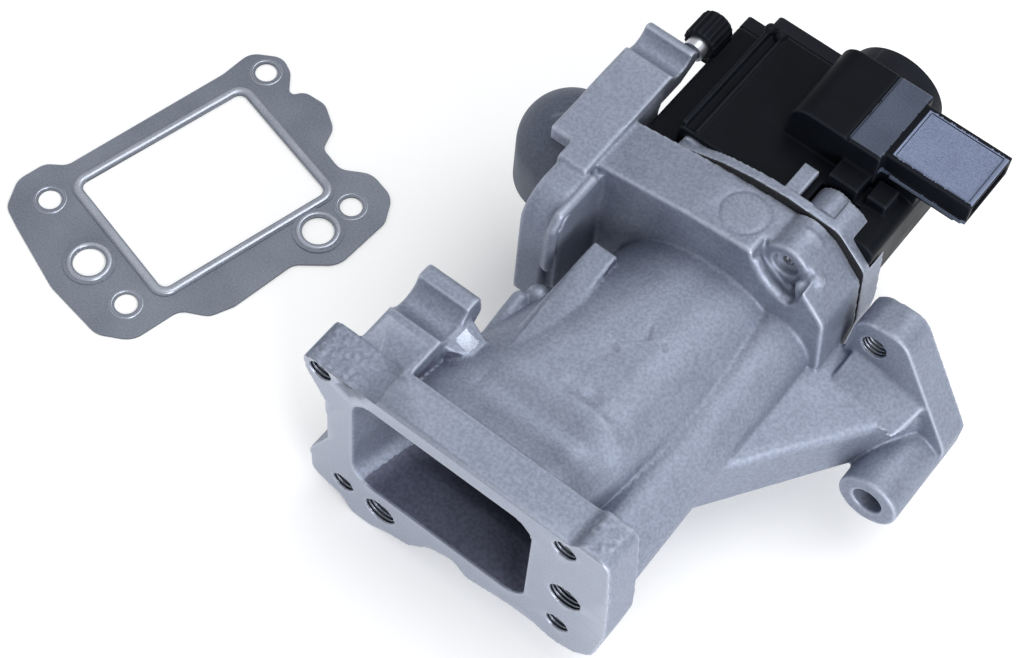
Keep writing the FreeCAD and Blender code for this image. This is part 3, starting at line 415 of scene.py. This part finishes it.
def mixed(tree, factor, first, second):
    """A colour that runs from first to second with factor. Each is an output or three numbers."""
    node = tree.nodes.new("ShaderNodeMix")
    node.data_type = "RGBA"
    tree.links.new(factor, node.inputs["Factor"])
    for label, colour in (("A", first), ("B", second)):
        if isinstance(colour, tuple):
            node.inputs[label].default_value = (*colour, 1.0)
        else:
            tree.links.new(colour, node.inputs[label])
    return node.outputs["Result"]


def spread(tree, value, low, high):
    """Runs a 0 to 1 value over low to high."""
    node = tree.nodes.new("ShaderNodeMapRange")
    node.inputs["To Min"].default_value = low
    node.inputs["To Max"].default_value = high
    tree.links.new(value, node.inputs["Value"])
    return node.outputs["Result"]


def material(name, dark, light, rough, metal=0.0, grain=1400.0, waves=120.0, pits=420.0,
             depth=0.00006, edge=None, edge_reach=0.54, crease_shade=None, fleck=0.25, gloss=0.5, rings=0.0):
    """A skin whose colour runs from dark to light, with its own flecks, roughness and grain, a painted
    highlight colour on its edges and a painted shade colour in its creases.
    """
    mat = bpy.data.materials.new(name)
    mat.use_nodes = True
    tree = mat.node_tree
    add, link = tree.nodes.new, tree.links.new
    shader = tree.nodes["Principled BSDF"]
    skin = add("ShaderNodeGroup")
    skin.node_tree = GRAIN
    skin.inputs["Grain"].default_value = grain
    skin.inputs["Waves"].default_value = waves
    skin.inputs["Pits"].default_value = pits
    colour = mixed(tree, skin.outputs["Cloud"], dark, light)
    bright = tuple(min(1.0, c * (1.0 + fleck)) for c in light)
    dim = tuple(c * (1.0 - fleck) for c in dark)
    speckled = mixed(tree, skin.outputs["Fleck"], dim, bright)
    half = add("ShaderNodeMix")
    half.data_type = "RGBA"
    half.inputs["Factor"].default_value = 0.45
    link(colour, half.inputs["A"])
    link(speckled, half.inputs["B"])
    colour = half.outputs["Result"]
    height = skin.outputs["Height"]
    painted_light = add("ShaderNodeGroup")
    painted_light.node_tree = EDGES
    painted_light.inputs["Reach"].default_value = edge_reach
    # The crease colour is painted shade in the creases of the mesh.
    if crease_shade:
        colour = mixed(tree, painted_light.outputs["Crease_Shade"], colour, crease_shade)
    # The edge colour is a painted highlight on convex edges.
    if edge:
        colour = mixed(tree, painted_light.outputs["Edge_Highlight"], colour, edge)
    # Rings lay dark bands round a hole's wall at the threads' pitch: painted shade between the thread turns,
    # with a bump from the same bands.
    if rings:
        place = add("ShaderNodeTexCoord")
        turns = add("ShaderNodeTexWave")
        turns.bands_direction = "Y"
        turns.inputs["Scale"].default_value = rings
        link(place.outputs["Object"], turns.inputs["Vector"])
        colour = mixed(tree, turns.outputs["Fac"], tuple(c * 0.35 for c in dark), colour)
        height = turns.outputs["Fac"]
    link(colour, shader.inputs["Base Color"])
    link(spread(tree, skin.outputs["Cloud"], rough[0], rough[1]), shader.inputs["Roughness"])
    shader.inputs["Metallic"].default_value = metal
    shader.inputs["Specular IOR Level"].default_value = gloss
    bump = add("ShaderNodeBump")
    bump.inputs["Distance"].default_value = depth
    link(height, bump.inputs["Height"])
    link(bump.outputs["Normal"], shader.inputs["Normal"])
    return mat


THREAD_BANDS = 251.0  # turns the bands of a wave texture into threads of 1.25 mm pitch

# In the finishes below, an edge colour is a painted highlight on convex edges, and the cast skin's crease
# colour is painted shade in its creases.
CAST = material("cast_aluminium", (0.185, 0.211, 0.276), (0.242, 0.271, 0.343), (0.46, 0.60), metal=0.6,
                grain=900.0, waves=60.0, pits=350.0, depth=0.00016, edge=(0.50, 0.54, 0.64),
                edge_reach=0.58, crease_shade=(0.12, 0.14, 0.19), fleck=0.16)
# Painted shade for the inside walls of the port and the duct.
PORT_SHADE = material("port_painted_shade", (0.075, 0.079, 0.118), (0.105, 0.112, 0.165), (0.5, 0.65), metal=0.3,
                     grain=800.0, waves=70.0, depth=0.00014)
# Drilled and tapped hole walls, with dark rings of painted shade between the thread turns.
DRILLED = material("drilled_aluminium", (0.20, 0.22, 0.27), (0.36, 0.39, 0.46), (0.3, 0.42), metal=0.9,
                   waves=300.0, depth=0.0004, rings=THREAD_BANDS)
# A painted highlight for the up-facing faces at the inner end of the lower clip bracket's cradle.
CRADLE_HIGHLIGHT = material("cradle_painted_highlight", (0.36, 0.40, 0.49), (0.46, 0.50, 0.60), (0.30, 0.42), metal=0.7,
                    grain=2400.0, depth=0.00003)
MACHINED = material("machined_aluminium", (0.28, 0.31, 0.38), (0.35, 0.38, 0.46), (0.3, 0.42), metal=0.75,
                    grain=2200.0, waves=200.0, depth=0.00003, edge=(0.55, 0.58, 0.66), edge_reach=0.6)
STEEL = material("bright_steel", (0.36, 0.38, 0.42), (0.46, 0.48, 0.52), (0.25, 0.38), metal=0.95,
                 grain=3000.0, depth=0.00001, edge=(0.62, 0.64, 0.68), edge_reach=0.6)
# Steel of the inlet elbow, its colour darkened with painted shade.
SHADED_PIPE = material("pipe_steel_painted_shade", (0.078, 0.092, 0.128), (0.108, 0.126, 0.168), (0.5, 0.64), metal=0.35,
                grain=1200.0, waves=80.0, depth=0.00006, edge=(0.14, 0.16, 0.2), gloss=0.3)
PLASTIC = material("black_plastic", (0.0022, 0.0030, 0.0045), (0.0050, 0.0062, 0.0095), (0.42, 0.55),
                   grain=2600.0, waves=90.0, depth=0.00003, edge=(0.028, 0.031, 0.042),
                   edge_reach=0.62, gloss=0.06)
# Black plastic with a painted sheen, for the label block's top and the connector's front lip; the paler one
# for the connector's top.
SHEEN = material("plastic_painted_sheen", (0.030, 0.040, 0.062), (0.066, 0.082, 0.122), (0.34, 0.46),
                 grain=2600.0, waves=45.0, depth=0.00003, edge=(0.11, 0.13, 0.18), edge_reach=0.62, gloss=0.2)
PALE_SHEEN = material("plastic_pale_painted_sheen", (0.110, 0.134, 0.215), (0.165, 0.198, 0.295), (0.36, 0.48),
                      grain=2400.0, waves=60.0, depth=0.00003, edge=(0.3, 0.34, 0.45), edge_reach=0.62,
                      gloss=0.2)
SHEET = material("gasket_sheet", (0.175, 0.198, 0.24), (0.235, 0.262, 0.31), (0.32, 0.46), metal=0.65,
                 grain=1500.0, waves=40.0, depth=0.00003, fleck=0.12)
# A painted highlight for the gasket's beads.
BEAD_HIGHLIGHT = material("bead_painted_highlight", (0.34, 0.37, 0.43), (0.46, 0.49, 0.56), (0.26, 0.38), metal=0.7,
                   grain=1800.0, waves=70.0, depth=0.00002, fleck=0.12)
# A darker colour for the side faces of the gasket sheet.
SHEET_SIDE = material("sheet_side_darker", (0.06, 0.066, 0.08), (0.10, 0.11, 0.13), (0.4, 0.55), metal=0.6,
                   grain=1800.0, waves=200.0, depth=0.00002)
BRONZE = material("bronze", (0.42, 0.27, 0.12), (0.52, 0.35, 0.17), (0.3, 0.42), metal=0.9, depth=0.00001)
COPPER = material("enamelled_copper", (0.42, 0.16, 0.06), (0.52, 0.22, 0.09), (0.25, 0.4), metal=0.7,
                  depth=0.00003)
RUBBER = material("black_rubber", (0.012, 0.012, 0.014), (0.02, 0.02, 0.022), (0.6, 0.75), depth=0.00003,
                  gloss=0.2)
IVORY = material("gear_plastic", (0.55, 0.52, 0.42), (0.62, 0.59, 0.49), (0.4, 0.5), depth=0.00002)
FERRITE = material("dark_ferrite", (0.05, 0.05, 0.055), (0.08, 0.08, 0.085), (0.5, 0.65), depth=0.00004)
BOARD = material("board_laminate", (0.02, 0.12, 0.05), (0.03, 0.16, 0.07), (0.35, 0.45), depth=0.00001)

FINISH = {
    "valve_housing": CAST, "actuator_base": CAST, "inlet_elbow": SHADED_PIPE, "valve_seat": STEEL,
    "stem_bush": BRONZE, "stem_seal": RUBBER, "valve_stem": STEEL, "valve_disc": STEEL, "cross_pin": STEEL,
    "cam_sleeve": STEEL, "intermediate_gear": IVORY, "output_gear": IVORY, "motor_pinion": BRONZE,
    "gear_pin": STEEL, "output_bearing": STEEL, "sensor_magnet": FERRITE, "guide_cage": PLASTIC,
    "return_spring": STEEL, "spring_retainer": STEEL, "retainer_clip": STEEL, "base_gasket": RUBBER,
    "housing_screws": STEEL, "base_screws": STEEL, "dowel_pins": STEEL, "gear_housing": PLASTIC,
    "terminal_pins": BRONZE, "fixing_sleeve": STEEL, "cover_seal": RUBBER, "rear_cover": PLASTIC,
    "cover_screws": STEEL, "motor_plate": STEEL, "motor_can": STEEL, "motor_screws": STEEL,
    "motor_bushes": BRONZE, "motor_shaft": STEEL, "motor_magnets": FERRITE, "rotor_core": STEEL,
    "rotor_windings": COPPER, "commutator": COPPER, "brush_card": FERRITE, "motor_brushes": FERRITE,
    "motor_cap": PLASTIC, "position_board": BOARD, "board_chips": FERRITE, "flange_gasket": SHEET,
}
for node, finish in FINISH.items():
    slots = nodes[node].material_slots
    if not slots:
        nodes[node].data.materials.append(finish)
    for place in slots:
        place.material = finish
for node, width in (("inlet_elbow", 0.5), ("rear_cover", 0.5), ("motor_cap", 0.9)):
    round_edges(nodes[node], width)


# The casting
def near_hole(point, holes, margin):
    return any(math.hypot(point.x - x, point.z - z) < radius + margin for x, z, radius in holes)


def on_hole_wall(point, normal, holes):
    """Whether a face is the wall of one of the holes: near its edge, and turned to its axis."""
    for x, z, radius in holes:
        away_x, away_z = point.x - x, point.z - z
        inward = away_x * normal.x + away_z * normal.z < -0.7 * radius
        if inward and math.hypot(away_x, away_z) < radius + 0.5:
            return True
    return False


def softness(point):
    """How far a point of the casting may be softened: the joint faces and holes stay crisp."""
    if point.y < 1.2:
        return 0.15
    if point.y > COLLAR_BACK - 0.8 and point.x < BRANCH_LEFT:
        return 0.1
    if abs(point.y - BRANCH_FACE) < 1.0 and point.x > BRANCH_LEFT:
        return 0.3
    if point.y < FLANGE_BACK + 0.5 and near_hole(point, FLANGE_HOLES, 1.2):
        return 0.35
    return 1.0


def add_side_ribs(bm):
    """The tall strip along the left of the duct, and the lumpy ridge below it."""
    add_hull(bm, ((-10.9, 90.2, 26.0), (-2.2, 89.2, 26.0), (-7.6, 42.5, 28.2), (1.2, 43.0, 29.0),
                  (-11.0, 90.2, -4.0), (-2.0, 89.2, -4.0), (-9.0, 44.0, -4.0), (0.2, 44.0, -4.0)))
    add_hull(bm, ((-18.0, 43.0, 15.0), (-20.5, 65.0, 15.0), (-16.0, 71.5, 14.0), (-6.0, 74.0, 16.0),
                  (-4.0, 42.0, 20.0), (-20.0, 43.0, -6.0), (-23.0, 66.0, -6.0), (-18.0, 74.0, -6.0),
                  (-4.0, 78.0, -6.0), (-4.0, 42.0, -6.0)))
    add_ridge(bm, ((-15.5, 38.0, 20.0), (-17.8, 47.0, 16.5), (-19.0, 57.0, 15.2), (-19.5, 64.0, 15.0)), 3.0)
    add_ball(bm, (-16.0, 68.8, 14.5), 3.9)


def add_screw_boss(bm):
    """The rounded mass round the long screw on the collar, and the lip below its open recess."""
    x, z = SCREW_SPOT
    add_collar(bm, SCREW_SPOT, 8.3, 4.5, 111.2, 125.6)
    add_ball(bm, (x + 0.5, 120.6, z + 1.4), 7.4, (1.0, 0.66, 1.0))
    add_ridge(bm, ((34.6, 107.2, 41.6), (37.6, 107.0, 37.4), (41.5, 107.0, 34.2), (46.0, 107.2, 31.8),
                   (51.0, 109.0, 31.0)), 2.1)
    add_ridge(bm, ((51.0, 109.0, 40.5), (53.0, 108.0, 35.5), (51.5, 108.0, 31.5)), 2.2)
    add_ball(bm, (53.0, 113.0, 40.6), 3.6)


def add_screw_corner(bm):
    """The corner of the collar that is left away in front of the screw boss."""
    outline = ((33.0, 50.0), (35.8, 39.8), (44.0, 33.4), (50.0, 33.0), (52.5, 38.0), (53.5, 50.0))
    add_prism(bm, outline, 9.2, lambda u, v, w: Vector((u, COLLAR_FRONT - 1.6 + w, v)))


def add_pad_corner(bm):
    """The front left corner that the upper clip bracket doesn't have."""
    add_box(bm, (-46.0, 97.0, 33.2), (-34.0, 106.2, 44.0))


def add_branch_fillet(bm):
    """The web that joins the branch to its flange above the counterbored port."""
    add_hull(bm, ((70.0, 108.0, 9.5), (97.0, 109.0, 3.0), (71.0, 117.6, 15.0), (98.5, 117.6, 9.5),
                  (70.0, 117.6, 7.6), (98.0, 117.6, 4.0), (72.0, 104.0, 7.0), (95.0, 104.0, 2.0)))


def add_bracket_foot(bm):
    """The pillar under the inner end of the lower clip bracket's cradle."""
    add_hull(bm, ((-23.4, 29.0, 29.2), (-23.4, 43.0, 29.6), (-15.4, 34.0, 26.0), (-14.6, 41.0, 25.0),
                  (-23.4, 28.0, 4.0), (-10.0, 32.0, 4.0), (-9.5, 43.0, 4.0), (-23.4, 46.0, 4.0)))


def add_block_edges(bm):
    """The rounded inner edge of the left wall block."""
    add_ridge(bm, ((-21.0, 100.0, 38.4), (-21.2, 84.0, 37.6), (-21.3, 81.0, 33.0), (-21.3, 80.6, 12.0)), 1.9)
    add_ridge(bm, ((-30.8, 90.0, 37.6), (-31.0, 84.0, 33.0), (-31.0, 83.0, 6.0)), 2.0)


def add_duct_inside(bm):
    """The space inside the duct, which the masses added outside it have to leave free."""
    points = []
    for k, (x, z, radius) in enumerate(DUCT_CORNERS):
        centre_x, centre_z = x - math.copysign(radius, x), z - math.copysign(radius, z)
        reach = radius - DUCT_MARGIN
        for i in range(5):
            turn = math.pi / 2 * (k + 2 + i / 4)
            points.append((centre_x + reach * math.cos(turn), DUCT_FRONT, centre_z + reach * math.sin(turn)))
    reach = SEAT_BORE - DUCT_MARGIN
    for i in range(32):
        turn = 2 * math.pi * i / 32
        points.append((SEAT_X + reach * math.cos(turn), SEAT_Y - 1.0, SEAT_Z + reach * math.sin(turn)))
    add_hull(bm, points)


def line_gap(point, start, end):
    """How far a point is from a line on the plan."""
    ahead = Vector((end[0] - start[0], end[1] - start[1]))
    here = Vector((point.x - start[0], point.y - start[1]))
    share = max(0.0, min(1.0, here.dot(ahead) / ahead.length_squared))
    return (here - ahead * share).length


def neck(point, normal):
    """The hollow of the duct's top just behind the flange."""
    if not (FLANGE_BACK < point.y < NECK_END and NECK_LEFT < point.x < NECK_RIGHT):
        return Vector()
    if normal.z < 0.3 or point.z > FLANGE_TOP - 2.0:
        return Vector()
    share = (point.y - FLANGE_BACK) / (NECK_END - FLANGE_BACK)
    side = min(1.0, (point.x - NECK_LEFT) / 14.0, (NECK_RIGHT - point.x) / 12.0)
    facing = min(1.0, (normal.z - 0.3) / 0.3)
    return Vector((0.0, 0.0, -NECK_DEEP * side * facing * math.sin(math.pi * share) ** 2))


def valley(point, normal):
    """The groove between the duct and the round rib on its right."""
    if not 38.0 < point.y < 112.0 or point.x < 28.0 or point.z < -6.0:
        return Vector()
    share = max(0.0, min(1.0, (point - VALLEY_FAR).dot(VALLEY) / VALLEY.length_squared))
    gap = (point - VALLEY_FAR - VALLEY * share).length / VALLEY_W
    if gap >= 1.0:
        return Vector()
    ends = min(1.0, 6.0 * share + 0.3, 5.0 * (1.0 - share))
    return normal * (-VALLEY_DEEP * ends * (1.0 - gap * gap) ** 1.5)


def nicks(point, normal):
    """Flow lines, nicks and the ejector mark on the top of the casting."""
    move = Vector()
    if normal.z > 0.45 and 20.0 < point.y < 80.0:
        for start, end, width, depth in CREASES:
            gap = line_gap(point, start, end)
            if gap < width:
                move -= normal * depth * (1.0 - (gap / width) ** 2)
    if normal.z > 0.7 and point.z > 40.0:
        ring = abs(math.hypot(point.x - EJECTOR_SPOT[0], point.y - EJECTOR_SPOT[1]) - EJECTOR_R)
        move -= normal * 0.3 * max(0.0, 1.0 - ring / 0.9)
    return move


def flange_top(point, normal):
    """The lower, pitted end of the flange's top, and the rough lug at its other end."""
    if normal.z < 0.5 or point.y > FLANGE_BACK or point.z < FLANGE_TOP - 1.2:
        return Vector()
    if point.x < -26.0 - 0.11 * (point.y - 12.4):
        lumps = 0.22 * noise.noise(point * 0.7) if point.x < -34.0 else 0.0
        return Vector((0.0, 0.0, -0.5 + lumps))
    if 47.0 < point.x < 58.0 and 1.5 < point.y < 13.0:
        return Vector((0.0, 0.0, 0.3 * noise.noise(point * 0.6)))
    return Vector()


def marks(point, normal):
    """All that is pressed into the skin of the casting."""
    return neck(point, normal) + valley(point, normal) + nicks(point, normal) + flange_top(point, normal)


def cast_finish(middle, normal):
    """0 cast skin, 1 painted shade inside the port and duct, 2 drilled, 3 painted highlight on the clip
    bracket's cradle, 4 machined.
    """
    if middle.y < 0.25 or (middle.y > BRANCH_FACE - 0.25 and middle.x > BRANCH_LEFT):
        return 4
    if middle.y < FLANGE_BACK + 0.6 and on_hole_wall(middle, normal, FLANGE_HOLES):
        return 2
    in_branch = middle.y > BRANCH_FACE - 17.0 and middle.x > BRANCH_LEFT
    if in_branch and on_hole_wall(middle, normal, BRANCH_HOLES):
        return 2
    # The inside walls of the port and the duct get painted shade.
    if 0.8 < middle.y < SEAT_Y - 1.0 and middle.x > left_wall(middle.y) + 4.0 and hollow(middle, normal):
        return 1
    # The up-facing faces at the inner end of the lower clip bracket's cradle get a painted highlight.
    if -21.4 < middle.x < -16.2 and 34.0 < middle.y < 39.0 and middle.z > 24.0 and normal.z > 0.3:
        return 3
    return 0


def along_duct(y):
    """0 at the duct's front, 1 at the valve seat."""
    return max(0.0, min(1.0, (y - DUCT_FRONT) / (SEAT_Y - DUCT_FRONT)))


def left_wall(y):
    """Where the left inside wall of the port and the duct is, X."""
    duct_left = DUCT_CORNERS[0][0]
    if y < DUCT_FRONT:
        return -PORT_HALF_W + (duct_left + PORT_HALF_W) * y / DUCT_FRONT
    return duct_left + (SEAT_X - SEAT_BORE - duct_left) * along_duct(y)


def hollow(point, normal):
    """Whether a face is on the inside wall of the duct: within it, and turned to its axis."""
    share = along_duct(point.y)
    away_x, away_z = point.x - SEAT_X * share, point.z - SEAT_Z * share
    half_x, half_z = 34.8 * (1.0 - share) + 31.0 * share, 27.5 * (1.0 - share) + 31.0 * share
    inward = away_x * normal.x + away_z * normal.z < 0.0
    return abs(away_x) < half_x and abs(away_z) < half_z and inward


def build_added_masses():
    """What the casting has outside its CAD solid, without what would reach into the duct."""
    extra = bmesh.new()
    for add_part in (add_side_ribs, add_screw_boss, add_block_edges, add_branch_fillet, add_bracket_foot):
        add_part(extra)
    bmesh.ops.recalc_face_normals(extra, faces=extra.faces)
    masses = piece_from("added_masses", extra)
    inside = bmesh.new()
    add_duct_inside(inside)
    carve(masses, inside, overlapping=True)
    outside = bmesh.new()
    outside.from_mesh(masses.data)
    bpy.data.objects.remove(masses)
    return outside


def build_casting():
    """The cast body: the CAD solid with soft edges, and its smaller forms and marks."""
    body = bake(weld(copy_node("cast_body", "valve_housing")))
    left_away = bmesh.new()
    add_screw_corner(left_away)
    add_pad_corner(left_away)
    carve(body, left_away)
    joined("cast_body", body, build_added_masses())
    cast(body, CAST_VOXEL, 5, softness)
    press(body, marks)
    thin(body, 0.45)
    paint_faces(body, (CAST, PORT_SHADE, DRILLED, CRADLE_HIGHLIGHT, MACHINED), cast_finish)
    for face in body.data.polygons:
        face.use_smooth = True
    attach(body, "body")
    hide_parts("valve_housing")


build_casting()


def build_base_plate():
    """The cast base of the actuator, with the soft edges of a casting."""
    plate = joined("base_plate", copy_node("base_plate", "actuator_base"), bmesh.new())
    cast(plate, PLATE_VOXEL, 3, share=0.5)
    paint_faces(plate, (CAST,), lambda middle, normal: 0)
    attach(plate, "body")
    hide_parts("actuator_base")


build_base_plate()


# The actuator housing
def add_housing_grooves(bm):
    """What is cut into the label block and the connector."""
    add_box(bm, (36.0, BLOCK_NEAR - 1.0, BLOCK_TOP - 0.7), (37.0, BLOCK_FAR + 1.0, BLOCK_TOP + 1.0))
    add_box(bm, (50.6, PLUG_NEAR + 1.5, BLOCK_TOP - 0.6), (PLUG_END - 1.5, PLUG_FAR - 1.5, BLOCK_TOP + 1.0))
    add_box(bm, (-8.6, 131.0, SHELL_TOP - 1.0), (-5.2, 181.0, SHELL_TOP + 1.0))


def add_housing_ribs(bm):
    """Ribs and bumps on the shell, the latch and the ribbed knob."""
    add_box(bm, (-10.3, 131.5, SHELL_TOP - 1.0), (-8.7, BLOCK_FAR, SHELL_TOP + 0.9))
    add_box(bm, (-5.1, 131.5, SHELL_TOP - 1.0), (-4.1, BLOCK_FAR, SHELL_TOP + 0.6))
    for x in (-9.6, -5.4):
        add_ball(bm, (x, BLOCK_FAR - 1.0, SHELL_TOP), 1.9, (1.0, 1.2, 1.0))
    add_box(bm, (37.0, 141.0, 44.0), (47.5, BLOCK_NEAR, 51.0))
    add_box(bm, (50.0, 143.0, 43.0), (57.0, 151.0, 49.0))
    add_box(bm, (52.0, PLUG_NEAR - 0.9, 51.4), (PLUG_END - 1.0, PLUG_NEAR + 0.2, 53.0))
    add_box(bm, (62.0, PLUG_NEAR + 1.0, 47.8), (75.0, PLUG_NEAR + 5.0, 51.2))
    for i in range(KNOB_RIBS):
        turn = 2 * math.pi * i / KNOB_RIBS
        x = SLEEVE_X + EAR_R * math.cos(turn)
        z = SLEEVE_Z + EAR_R * math.sin(turn)
        add_rod(bm, (x, 163.4, z), (x, 173.6, z), 0.55, sides=8)


def housing_finish(middle, normal):
    """0 black, 1 painted sheen, 2 paler painted sheen."""
    # Up-facing tops of the connector and the label block, and the connector's front lip, get a painted sheen.
    if normal.z > 0.8 and middle.z > BLOCK_TOP - 1.0:
        if middle.x > BLOCK_RIGHT + 1.8 and PLUG_NEAR + 1.3 < middle.y < PLUG_FAR - 1.3:
            return 2
        if 36.5 < middle.x < BLOCK_RIGHT - 0.6 and BLOCK_NEAR + 1.2 < middle.y:
            return 1
    if middle.x > BLOCK_RIGHT and middle.y < PLUG_NEAR + 0.1 and 51.2 < middle.z < 53.1:
        return 1
    return 0


def build_housing():
    """The moulded shell of the actuator, with its label block and connector."""
    shell = bake(weld(copy_node("housing_shell", "gear_housing")))
    grooves = bmesh.new()
    add_housing_grooves(grooves)
    carve(shell, grooves)
    ribs = bmesh.new()
    add_housing_ribs(ribs)
    joined("housing_shell", shell, ribs)
    cast(shell, SHELL_VOXEL, 2, share=0.35)
    paint_faces(shell, (PLASTIC, SHEEN, PALE_SHEEN), housing_finish)
    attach(shell, "body")
    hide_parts("gear_housing")


build_housing()


def build_return_coil():
    """The return spring, in bright steel, with a mesh of its own."""
    coil = crisp(copy_node("return_coil", "return_spring"))
    coil.data.materials.append(STEEL)
    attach(coil, "body")
    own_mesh(coil)
    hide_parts("return_spring")


build_return_coil()


# The loose gasket
LAY = math.radians(75.5)
SHEET_LOW = FLOOR_Z / MM
GASKET_CENTRE = Vector((-152.5, 62.5, SHEET_LOW))
LONG_WAY = Vector((math.cos(LAY), math.sin(LAY), 0.0))
SHORT_WAY = Vector((-math.sin(LAY), math.cos(LAY), 0.0))
PORT_CORNER = 3.0


def laid(x, z, lift):
    """A place on the gasket, given as on the flange it seals."""
    return tuple(GASKET_CENTRE - LONG_WAY * x + SHORT_WAY * z + Vector((0.0, 0.0, lift)))


def window_path(margin, lift):
    """The outline of the port window, a margin outside it."""
    path = []
    corner = PORT_CORNER + margin
    for k, (side_x, side_z) in enumerate(((1, 1), (-1, 1), (-1, -1), (1, -1))):
        centre_x = side_x * (PORT_HALF_W - PORT_CORNER)
        centre_z = side_z * (PORT_HALF_H - PORT_CORNER)
        for i in range(9):
            turn = math.pi / 2 * (k + i / 8)
            path.append(laid(centre_x + corner * math.cos(turn), centre_z + corner * math.sin(turn), lift))
    return path


def circle_path(x, z, radius, lift, count=48):
    return [laid(x + radius * math.cos(2 * math.pi * i / count),
                 z + radius * math.sin(2 * math.pi * i / count), lift) for i in range(count)]


def gasket_finish(middle, normal):
    """0 sheet, 1 painted highlight on the beads, 2 darker side faces of the sheet."""
    # The sheet's side faces are darker, and the beads' tops and slopes get a painted highlight.
    if abs(normal.z) < 0.3 and middle.z < SHEET_LOW + 0.62:
        return 2
    return 1 if middle.z > SHEET_LOW + 1.02 or 0.1 < normal.z < 0.98 else 0


def build_gasket():
    """The sheet gasket, with beads pressed round its window and its holes."""
    beads = bmesh.new()
    add_bead(beads, window_path(1.75, 0.9), 1.35, 0.75)
    for x, z, radius in FLANGE_HOLES:
        large = radius > 5.0
        add_bead(beads, circle_path(x, z, radius + 1.3, 0.9 if large else 0.5),
                 0.85 if large else 0.6, 0.6 if large else 0.35)
    sheet = joined("gasket_sheet", copy_node("gasket_sheet", "flange_gasket"), beads)
    crisp(bake(weld(sheet)))
    paint_faces(sheet, (SHEET, BEAD_HIGHLIGHT, SHEET_SIDE), gasket_finish)
    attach(sheet, "body")
    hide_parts("flange_gasket")


build_gasket()


# Floor, light and camera
floor_mesh = bmesh.new()
bmesh.ops.create_grid(floor_mesh, x_segments=2, y_segments=2, size=3.0)
floor = piece_from("floor", floor_mesh, smooth=False)
floor.location = (0.0, 0.0, FLOOR_Z - 0.0002)
paper = bpy.data.materials.new("floor_paper")
paper.use_nodes = True
paper_shader = paper.node_tree.nodes["Principled BSDF"]
paper_shader.inputs["Base Color"].default_value = (0.93, 0.93, 0.93, 1.0)
paper_shader.inputs["Roughness"].default_value = 0.9
paper_shader.inputs["Emission Color"].default_value = (1.0, 1.0, 1.0, 1.0)
paper_shader.inputs["Emission Strength"].default_value = 0.12
floor.data.materials.append(paper)


def soft_light(name, place, target, size, watts, tint=(1.0, 1.0, 1.0)):
    lamp = bpy.data.lights.new(name, "AREA")
    lamp.size = size
    lamp.energy = watts
    lamp.color = tint
    obj = bpy.data.objects.new(name, lamp)
    bpy.context.collection.objects.link(obj)
    obj.location = place
    obj.rotation_euler = (Vector(target) - Vector(place)).to_track_quat("-Z", "Y").to_euler()


CENTRE = (0.02, 0.09, 0.0)
soft_light("top_light", (0.2, 0.4, 1.1), CENTRE, 0.9, 7.0)
soft_light("right_light", (0.95, -0.45, 0.45), CENTRE, 0.6, 10.0, (0.97, 0.98, 1.0))

world = bpy.data.worlds.new("studio")
world.use_nodes = True
world.node_tree.nodes["Background"].inputs["Color"].default_value = (0.97, 0.98, 1.0, 1.0)
world.node_tree.nodes["Background"].inputs["Strength"].default_value = 0.64
bpy.context.scene.world = world
bpy.context.scene.view_settings.view_transform = "Standard"

# The camera that took the photograph: its place and axes, found by fitting
EYE = Vector((0.1799, -0.2557, 0.654))
EYE_RIGHT = Vector((0.7887, 0.6121, 0.0565))
EYE_UP = Vector((-0.5550, 0.6694, 0.4938))
EYE_BACK = Vector((0.2645, -0.4209, 0.8677))
camera_data = bpy.data.cameras.new("photo_camera")
camera_data.lens = 84.36
camera_data.sensor_width = 36.0
camera_data.clip_start = 0.02
camera = bpy.data.objects.new("photo_camera", camera_data)
bpy.context.collection.objects.link(camera)
axes = Matrix((EYE_RIGHT, EYE_UP, EYE_BACK)).transposed().to_4x4()
axes.translation = EYE
camera.matrix_world = axes
bpy.context.scene.camera = camera
